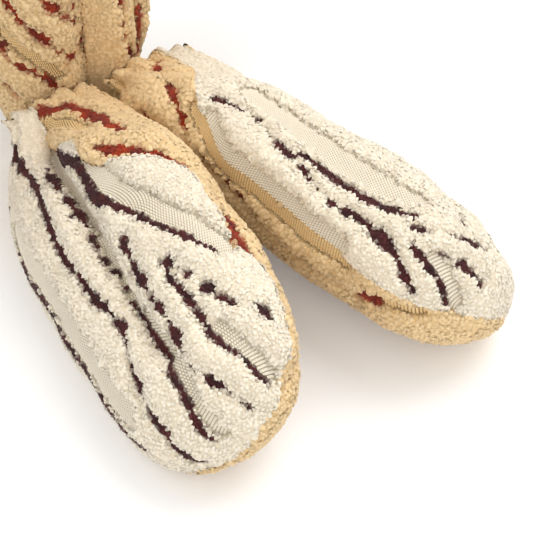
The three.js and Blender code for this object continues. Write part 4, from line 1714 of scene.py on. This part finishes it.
LEFT_LEG = LegAssembly(
    name="left_leg",
    side=1,
    outer_seam=170,
    slant=Slant(108, ((-6, 62, -126),)),
    swells=(
        Swell(-5, 125, (8, 35), (55, 95)), Swell(4.5, -65, (34, 62), (88, 122)),
        Swell(4, -20, (2, 14), (26, 50)),
    ),
    seed=31,
    cream_stripes=(
        accent(1.8, (60, 88), (71, 86), (82, 80), (87, 83), (91, 93), broken=0.7),
        accent(1.8, (97, 104), (110, 96), (122, 84), broken=0.7, seed=1),
        ground(
            8.5, (46, 52), (54, 51), (62, 51), (76, 48), (88, 49), (100, 53), (108, 62), level=0.35,
        ),
        accent(
            2.4, (76, 28), (85, 29), (91, 29), (97, 31), (103, 34), (110, 40), (115, 50),
            broken=0.2, seed=2,
        ),
        accent(
            1.6, (41, 21), (49, 27), (55, 30), (63, 24), (70, 20), (80, 18), (86, 13), (97, 10),
            broken=0.9, seed=3,
        ),
        ground(
            4.2, (46, 5), (50, -2), (58, -11), (67, -12.5), (80, -12.5), (95, -12.5), (107, -12.5),
            level=0.3,
        ),
        accent(
            2.2, (97, 10), (107, 16), (117, 16), (123, 14), (127, 6), (130, -1), (132, -6),
            broken=0.4, seed=4,
        ),
        accent(
            2.2, (124, 30), (128, 28), (132, 27), (135, 26), (137, 17), (139, 2), broken=0.2,
            seed=5,
        ),
        ground(3.4, (130, 37), (134, 37), (138, 31), (140, 12)),
        accent(1.8, (119, 43), (122, 47), (124, 56), (127, 72), (130, 95), broken=0.6, seed=6),
        accent(1.8, (130, 46), (133, 54), (135, 62), (137, 70), (139, 80), broken=0.5, seed=7),
        ground(4.0, (20, 150), (60, 122), (90, 120), (124, 118)),
        accent(2.2, (20, 158), (60, 132), (90, 130), (124, 128), seed=8),
        accent(2.2, (40, 158), (80, 146), (124, 146), seed=9),
    ),
    tan_stripes=(
        ground(5.0, (1, -6), (13, -22), (18, -33), (23, -44), (28, -54), (33, -63)),
        accent(1.4, (3, 16), (15, 8), (25, -6), (33, -20), (38, -33), broken=0.85),
        ground(
            4.6, (40, 7), (46, -7), (50, -14), (54, -19), (62, -24), (80, -25), (90, -26),
            (99, -25), (110, -23),
        ),
        accent(
            2.0, (50, -32), (62, -36), (73, -45), (84, -50), (95, -50), (104, -50), (112, -52),
            broken=0.8, seed=2,
        ),
        accent(4.0, (113, -52), (118, -46), (123, -40), broken=0.2, seed=12),
        ground(3.0, (125, -38), (130, -35), (135, -33)),
        accent(1.5, (1, 94), (7, 68), (20, 38), (33, 10), (37, -3), (41, -17), broken=0.9, seed=3),
        accent(2.2, (30, -84), (70, -92), (125, -92), seed=5),
        ground(3.6, (30, -98), (70, -106), (125, -106)),
    ),
    creases=(
        Crease(((40, 44), (60, 42), (80, 41), (105, 48)), 1.2, 5.0),
        Crease(((50, -34), (62, -38), (73, -47), (84, -52), (95, -52), (112, -54)), 1.6, 1.8),
    ),
)

NOD_HEIGHT = 38.0  # height of the neck's axis over the chin
CHIN = round(NECK[2] - NOD_HEIGHT, 3)
LIMB_FILLING_SPAN = (0.22, 1.0)
CLEFT = (Crease(tuple((z, FRONT) for z in (118, 90, 60, 30, 14)), depth=3.4, half_width=4.0),)
TORSO = Egg(
    bottom=0, widest=42, top=137, half_width=29.5, half_depth=25, lower_share=0.86,
    upper_power=0.47, lower_power=0.42, cleft=0.13, plan=2.7, span=(0.15, 0.995),
)
HEAD = Egg(
    bottom=CHIN, widest=CHIN + 31.5, top=CHIN + 70, half_width=37, half_depth=34, lower_share=1,
    upper_power=0.5, lower_power=0.5, cleft=0, plan=2, span=(0.012, 0.915),
)
LEFT_BELLY = (
    accent(2.0, (60, -72), (44, -69), (38, -71), (32, -68), (25, -61), (14, -50), broken=0.7),
    accent(2.0, (66, -50), (40, -44), (24, -38), (14, -30), broken=0.6, seed=2),
    ground(3.6, (80, -62), (60, -58), (40, -54), (20, -46)),
    accent(2.0, (110, -60), (95, -40), (70, -24), (40, -20), (16, -16), broken=0.5, seed=3),
)
RIGHT_BELLY = (
    accent(2.4, (66, -158), (58, -142), (52, -130), (46, -116), (39, -104), (34, -96), broken=0.5),
    accent(2.0, (70, -128), (63, -118), (57, -108), (53, -101), (47, -95), broken=0.6, seed=2),
    accent(1.8, (60, -102), (52, -94), (42, -93), (34, -91), broken=0.8, seed=3),
    ground(4.0, (52, -166), (46, -152), (42, -136), (37, -122), (31, -109)),
    accent(
        2.2, (45, -166), (39, -154), (36, -146), (34, -132), (30, -120), (26, -112), broken=0.35,
        seed=4,
    ),
    accent(2.0, (28, -166), (22, -150), (20, -138), (16, -124), broken=0.6, seed=5),
    ground(4.0, (98, -164), (88, -146), (82, -128), (76, -110)),
    accent(2.2, (104, -164), (94, -146), (88, -128), (82, -108), broken=0.4, seed=6),
)


def ribbed(
    node: str,
    body: str,
    form: Form,
    cloth: Cloth,
    edges: tuple[float, float],
    offset: float,
    seed: int,
    spacing: float = 1.3,
) -> Panel:
    """A panel with the fabric's own repeat, between two bearings.

    Args:
        node: The node that it stands for.
        body: The body that it rides on.
        form: The form that it covers.
        cloth: Its dye.
        edges: Bearings of its two edges.
        offset: How far the repeat is shifted across the panel.
        seed: Seed of its noise.
        spacing: Distance between its tufts.

    Returns:
        The panel.
    """
    start, end = map(always, edges)
    ribs = Ribs(offset)
    return Panel(node, body, form, cloth, start, end, spacing=spacing, ribs=ribs, seed=seed)


@dataclass
class BodyAssembly:
    """The torso and the head, each sewn from upright panels round an egg.

    The torso has seams in front and at its sides. The face's seams lie beside the front of the
    head and the nape's seams beside its back. A gap is half the width of a seam, in degrees.
    """

    torso: Egg = TORSO
    head: Egg = HEAD
    belly_spacing: float = 0.95
    face_spacing: float = 1.25
    front_gap: float = 0.3
    side_seam: float = -8.0
    side_gap: float = 0.6
    face_seam: float = 48.0
    nape_seam: float = 50.0
    head_gap: float = 0.5
    torso_filling_span: tuple[float, float] = (0.16, 0.995)
    head_filling_span: tuple[float, float] = (0.0, 0.92)
    filling_gap: float = 1.0

    def belly(self, side: str, edges: tuple[float, float], stripes: tuple, seed: int) -> Panel:
        """A half of the belly, between two bearings."""
        start, end = map(always, edges)
        return Panel(
            f"belly_panel_{side}", "torso", self.torso, TAN, start, end, spacing=self.belly_spacing,
            stripes=stripes, creases=CLEFT, seed=seed,
        )

    def panels(self) -> list[Panel]:
        """Panels of the torso and of the head."""
        left, right, gap = self.side_seam, -180 - self.side_seam, self.side_gap
        back = (left + gap, right + 360 - gap)
        gap = self.head_gap
        face = (FRONT - self.face_seam + gap, FRONT + self.face_seam - gap)
        nape = (-FRONT - self.nape_seam + gap, -FRONT + self.nape_seam - gap)
        left_cheek = (face[1] + 2 * gap, nape[0] - 2 * gap)
        right_cheek = (nape[1] + 2 * gap, face[0] - 2 * gap + 360)
        return [
            self.belly("left", (FRONT + self.front_gap, left - self.side_gap), LEFT_BELLY, 41),
            self.belly("right", (right + self.side_gap, FRONT - self.front_gap), RIGHT_BELLY, 42),
            ribbed("back_panel", "torso", self.torso, CREAM, back, 4, 43),
            ribbed("face_panel", "head", self.head, TAN, face, 10, 44, self.face_spacing),
            ribbed("cheek_panel_left", "head", self.head, CREAM, left_cheek, 2, 45),
            ribbed("head_back_panel", "head", self.head, CREAM, nape, 5, 46),
            ribbed("cheek_panel_right", "head", self.head, CREAM, right_cheek, 2, 47),
        ]

    def fillings(self) -> list["Filling"]:
        """The fibre of the torso, in two halves round the squeaker, and of the head."""
        torso = {"body": "torso", "form": self.torso, "span": self.torso_filling_span}
        torso["hollow"] = True
        right, left = self.filling_gap, 180 - self.filling_gap
        return [
            Filling("filling_front", creases=CLEFT, sweep=(-left, -right), **torso),
            Filling("filling_back", sweep=(right, left), **torso),
            Filling("head_filling", "head", self.head, self.head_filling_span),
        ]


@dataclass
class HangingAssembly:
    """An arm or an ear, sewn from a cream panel and a tan panel, that bends below level."""

    name: str
    joint: str
    side: float
    sizes: LimbSizes
    bend: tuple[float, float]
    seed: int
    half_seam: float = 1.0
    cream_offset: float = 3.0
    tan_offset: float = 12.0
    filling_depth: float = 1.2

    def form(self) -> HangingForm:
        """The limb's form at its joint."""
        start, (root_drop, drop) = joint_place(self.joint), self.bend
        return HangingForm(self.sizes, start, self.side, root_drop=root_drop, drop=drop)

    def panels(self) -> list[Panel]:
        """The limb's two panels."""
        form, gap = self.form(), self.half_seam
        cream, tan = f"{self.name}_cream_panel", f"{self.name}_tan_panel"
        above, below = (gap, 180 - gap), (180 + gap, 360 - gap)
        return [
            ribbed(cream, self.name, form, CREAM, above, self.cream_offset, self.seed),
            ribbed(tan, self.name, form, TAN, below, self.tan_offset, self.seed + 1),
        ]

    def filling(self) -> "Filling":
        """The fibre inside the limb."""
        sizes = {"depth": self.filling_depth, "span": LIMB_FILLING_SPAN}
        return Filling(f"{self.name}_filling", self.name, self.form(), **sizes)


@dataclass
class Filling:
    """Loose fibre inside a form, as one closed lump."""

    node: str
    body: str
    form: Form
    span: tuple[float, float]
    depth: float = 1.3
    creases: Sequence[Crease] = ()
    sweep: tuple[float, float] = (0.0, 360.0)
    hollow: bool = False
    seed: int = 71
    rows: int = 64
    columns: int = 72
    lump: float = 0.6
    lump_size: float = 7.0
    crease_depth: float = 1.15
    merged: float = 0.02
    hollow_radius: float = 17.5
    hollow_bottom: float = 36.0
    hollow_top: float = 76.0
    hollow_ease: float = 8.0
    closed_radius: float = 1.0
    wall: float = 1.5
    thin_share: float = 0.3

    def build(self, finish: Material) -> Object:
        """Makes the lump.

        Args:
            finish: The fibre's material.

        Returns:
            The finished piece, which stands for its node.
        """
        mesh = plain_mesh(self.node, *self.shell())
        tidy = bmesh.new()
        tidy.from_mesh(mesh)
        bmesh.ops.remove_doubles(tidy, verts=tidy.verts, dist=self.merged * MM)
        bmesh.ops.holes_fill(tidy, edges=tidy.edges)
        bmesh.ops.recalc_face_normals(tidy, faces=tidy.faces)
        tidy.to_mesh(mesh)
        tidy.free()
        mesh.shade_smooth()
        mesh.materials.append(finish)
        piece = show(f"{self.node}_fibre", mesh)
        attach(piece, self.body)
        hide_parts(self.node)
        LOG.info("%s: %d faces", piece.name, len(mesh.polygons))
        return piece

    def shell(self) -> tuple[Array, Array]:
        """Places and faces of the lump, with the wall of its hollow where it has one."""
        ways = np.linspace(*self.span, self.rows), np.linspace(*self.sweep, self.columns)
        u, bearing = np.meshgrid(*ways, indexing="ij")
        bare = self.form.place(u, bearing, np.zeros_like(u))
        sunk = self.depth + self.lump * lumps(bare, self.lump_size, self.seed) + self.lump
        sunk = sunk + self.crease_depth * pressed(self.form, self.creases, bare)
        outer = self.form.place(u, bearing, -sunk)
        number = np.arange(u.size).reshape(u.shape)
        verts, faces = outer.reshape(-1, 3), quads(number)
        if not self.hollow:
            return verts, faces
        rim = around(number)
        band = np.stack([rim[:-1], rim[:-1] + u.size, rim[1:] + u.size, rim[1:]], -1)
        faces = np.concatenate([faces, faces[:, ::-1] + u.size, band])
        return np.concatenate([verts, self.lining(outer).reshape(-1, 3)]), faces

    def lining(self, outer: Array) -> Array:
        """The wall of the hollow that holds the squeaker."""
        middle = np.array([0.0, NECK[1], 0.0])
        flat = (outer - middle) * [1, 1, 0]
        away = np.linalg.norm(flat, axis=-1, keepdims=True)
        z = outer[..., 2:]
        over = smoothstep(z, self.hollow_bottom - self.hollow_ease, self.hollow_bottom)
        under = 1 - smoothstep(z, self.hollow_top, self.hollow_top + self.hollow_ease)
        room = lerp(self.closed_radius, self.hollow_radius, over * under)
        radius = np.minimum(room, np.maximum(away - self.wall, self.thin_share * away))
        return outer - unit(flat) * (away - radius)


@dataclass
class FaceAssembly:
    """The muzzle, and the embroidered nose and eyes.

    Each pad has its half sizes across, out and up, and its rim as an angle from its middle.
    """

    head: Egg = HEAD
    muzzle_height: float = 26.0
    muzzle_reach: float = 15.0
    muzzle_sizes: Point = (19, 30, 14)
    muzzle_rim: float = 76.0
    muzzle_spacing: float = 1.1
    nose_rise: float = 6.0
    nose_forward: float = 0.86
    nose_sunk: float = 4.0
    nose_sizes: Point = (7, 8, 5)
    nose_rim: float = 72.0
    eye_height: float = 44.0
    eye_bearing: float = 24.0
    eye_reach: float = 2.2
    eye_sizes: Point = (4.5, 4.4, 4.5)
    eye_rim: float = 76.0
    thread: float = 0.5

    def stitched(self, node: str, centre: Array, axis: Array, sizes: tuple, seed: int) -> Panel:
        """An embroidered pad, with its half sizes and its rim in sizes."""
        form, ring = Dome(centre, axis, *sizes, self.thread), (always(0), always(360))
        return Panel(node, "head", form, THREAD, *ring, woven=True, seed=seed)

    def panels(self) -> list[Panel]:
        """Covers of the muzzle, the nose and the eyes."""
        ahead = np.array([0.0, -1.0, 0.0])
        snout = self.surface(self.muzzle_height, FRONT)
        ball = snout - ahead * self.muzzle_reach
        forward = -self.muzzle_reach * self.nose_forward + self.nose_sunk
        bridge = snout + [0, forward, self.nose_rise]
        dome = Dome(ball, ahead, *self.muzzle_sizes, self.muzzle_rim, FABRIC)
        made = [
            ribbed("muzzle", "head", dome, TAN, (0, 360), 7, 81, self.muzzle_spacing),
            self.stitched("nose", bridge, ahead, (*self.nose_sizes, self.nose_rim), 82),
        ]
        for name, side in (("right_eye", -1), ("left_eye", 1)):
            bearing = FRONT + side * self.eye_bearing
            axis = self.outward(self.eye_height, bearing)
            place = self.surface(self.eye_height, bearing) - axis * self.eye_reach
            made.append(self.stitched(name, place, axis, (*self.eye_sizes, self.eye_rim), 83))
        return made

    def surface(self, height: float, bearing: float) -> Array:
        """A place on the head's surface, at a height over the chin."""
        u = self.head.u_at(np.array(self.head.bottom + height))
        return self.head.place(u, np.array(bearing), np.array(FABRIC))

    def outward(self, height: float, bearing: float) -> Array:
        """Direction out of the head's surface."""
        up = self.surface(height + 1, bearing) - self.surface(height - 1, bearing)
        on = self.surface(height, bearing + 1) - self.surface(height, bearing - 1)
        return unit(np.cross(on, up))


@dataclass(frozen=True)
class Squeaker:
    """The squeaker's moulded pieces, which keep their solids and only get finishes."""

    plastic: MottledFinish = PLASTIC
    reed: MottledFinish = REED

    def dress(self, effects: Effects) -> None:
        """Gives each piece its finish."""
        plastic, reed = self.plastic.material(effects), self.reed.material(effects)
        finishes = {"squeaker_bellows": plastic, "whistle_plug": plastic, "whistle_reed": reed}
        for node, finish in finishes.items():
            mesh = bpy.data.objects[node].data
            mesh.materials.clear()
            mesh.materials.append(finish)
            LOG.info("%s: %s", node, finish.name)


@dataclass(frozen=True)
class Lamp:
    """A square soft box: its place and width in metres, and its power."""

    name: str
    place: Point
    size: float
    power: float

    def light(self, target: Point) -> None:
        """Adds the lamp, pointed at a target."""
        data = bpy.data.lights.new(self.name, "AREA")
        data.size, data.energy = self.size, self.power
        made = bpy.data.objects.new(self.name, data)
        made.location = Vector(self.place)
        aim = Vector(target) - Vector(self.place)
        made.rotation_euler = aim.to_track_quat("-Z", "Y").to_euler()
        bpy.context.scene.collection.objects.link(made)


@dataclass(frozen=True)
class Stage:
    """The floor, the light and the camera."""

    target: Point = (0.0125, -0.0316, 0.0)
    azimuth: float = math.radians(-34)
    elevation: float = math.radians(45)
    distance: float = 0.6
    field: float = math.radians(15.2)
    lamps: tuple[Lamp, ...] = (
        Lamp("key", place=(0.5, 0.05, 0.95), size=0.9, power=6.5),
        Lamp("fill", place=(-0.6, -0.7, 0.7), size=0.9, power=3.0),
    )
    table_reach: float = 3000.0
    table_white: float = 0.93
    table_roughness: float = 0.7
    table_glow: float = 0.15
    sky_light: float = 0.74
    sky_seen: float = 1.0

    def build(self) -> None:
        """Makes the floor, the lamps, the world and the camera."""
        scene = bpy.context.scene
        scene.view_settings.view_transform = "Standard"
        self.floor()
        self.world(scene)
        for lamp in self.lamps:
            lamp.light(self.target)
        a, e = self.azimuth, self.elevation
        back = Vector((math.sin(a) * math.cos(e), -math.cos(a) * math.cos(e), math.sin(e)))
        data = bpy.data.cameras.new("camera")
        data.lens = data.sensor_width / 2 / math.tan(self.field / 2)
        camera = bpy.data.objects.new("camera", data)
        camera.location = Vector(self.target) + back * self.distance
        camera.rotation_euler = (-back).to_track_quat("-Z", "Y").to_euler()
        scene.collection.objects.link(camera)
        scene.camera = camera

    def floor(self) -> None:
        """A pale table that stays white to the camera and keeps the toy's shadow."""
        corners = np.array([(-1, -1, 0), (1, -1, 0), (1, 1, 0), (-1, 1, 0)])
        mesh = plain_mesh("table", corners * self.table_reach, [(0, 1, 2, 3)])
        table = show("table", mesh)
        made, net, shader = blank_material("table_white")
        white = (*(self.table_white,) * 3, 1)
        net.fill(shader, {"Base Color": white, "Roughness": self.table_roughness})
        ray = net.add("ShaderNodeLightPath").outputs["Is Camera Ray"]
        strength = net.math("MULTIPLY", ray, self.table_glow)
        glow = net.add("ShaderNodeEmission", {"Color": (1, 1, 1, 1), "Strength": strength})
        both = net.add("ShaderNodeAddShader", {0: shader.outputs[0], 1: glow.outputs[0]})
        net.feed(net.tree.nodes["Material Output"].inputs["Surface"], both.outputs[0])
        mesh.materials.append(made)

    def world(self, scene: Scene) -> None:
        """Even white light from all round."""
        scene.world = bpy.data.worlds.new("studio")
        scene.world.use_nodes = True
        net = NodeNet(scene.world.node_tree)
        back = net.tree.nodes["Background"]
        path = net.add("ShaderNodeLightPath").outputs
        seen = net.math("MAXIMUM", path["Is Camera Ray"], path["Is Glossy Ray"])
        seen = net.math("MAXIMUM", seen, path["Is Transmission Ray"])
        level = net.ranged(seen, to_min=self.sky_light, to_max=self.sky_seen)
        net.fill(back, {"Color": (1, 1, 1, 1), "Strength": level})


def main() -> None:
    """Builds the stage and every piece of the toy, in order."""
    logging.basicConfig(level=logging.INFO, format="%(message)s")
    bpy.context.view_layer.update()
    Stage().build()
    effects = Effects()
    mill = FabricMill(effects)
    legs, body = (RIGHT_LEG, LEFT_LEG), BodyAssembly()
    panels = [panel for leg in legs for panel in leg.panels()]
    panels += body.panels() + FaceAssembly().panels()
    fillings = body.fillings() + [leg.filling() for leg in legs]
    for side, sign in (("right", -1), ("left", 1)):
        joints = f"{side}_shoulder", f"{side}_ear_flap"
        arm = HangingAssembly(f"{side}_arm", joints[0], sign, ARM_SIZES, ARM_BEND, seed=50 + sign)
        ear = HangingAssembly(f"{side}_ear", joints[1], sign, EAR_SIZES, EAR_BEND, seed=60 + sign)
        panels += arm.panels() + ear.panels()
        fillings.append(arm.filling())
    for panel in panels:
        mill.weave(panel)
    fibre = FIBRE.material(effects)
    for filling in fillings:
        filling.build(fibre)
    Squeaker().dress(effects)


if __name__ == "__main__":
    main()
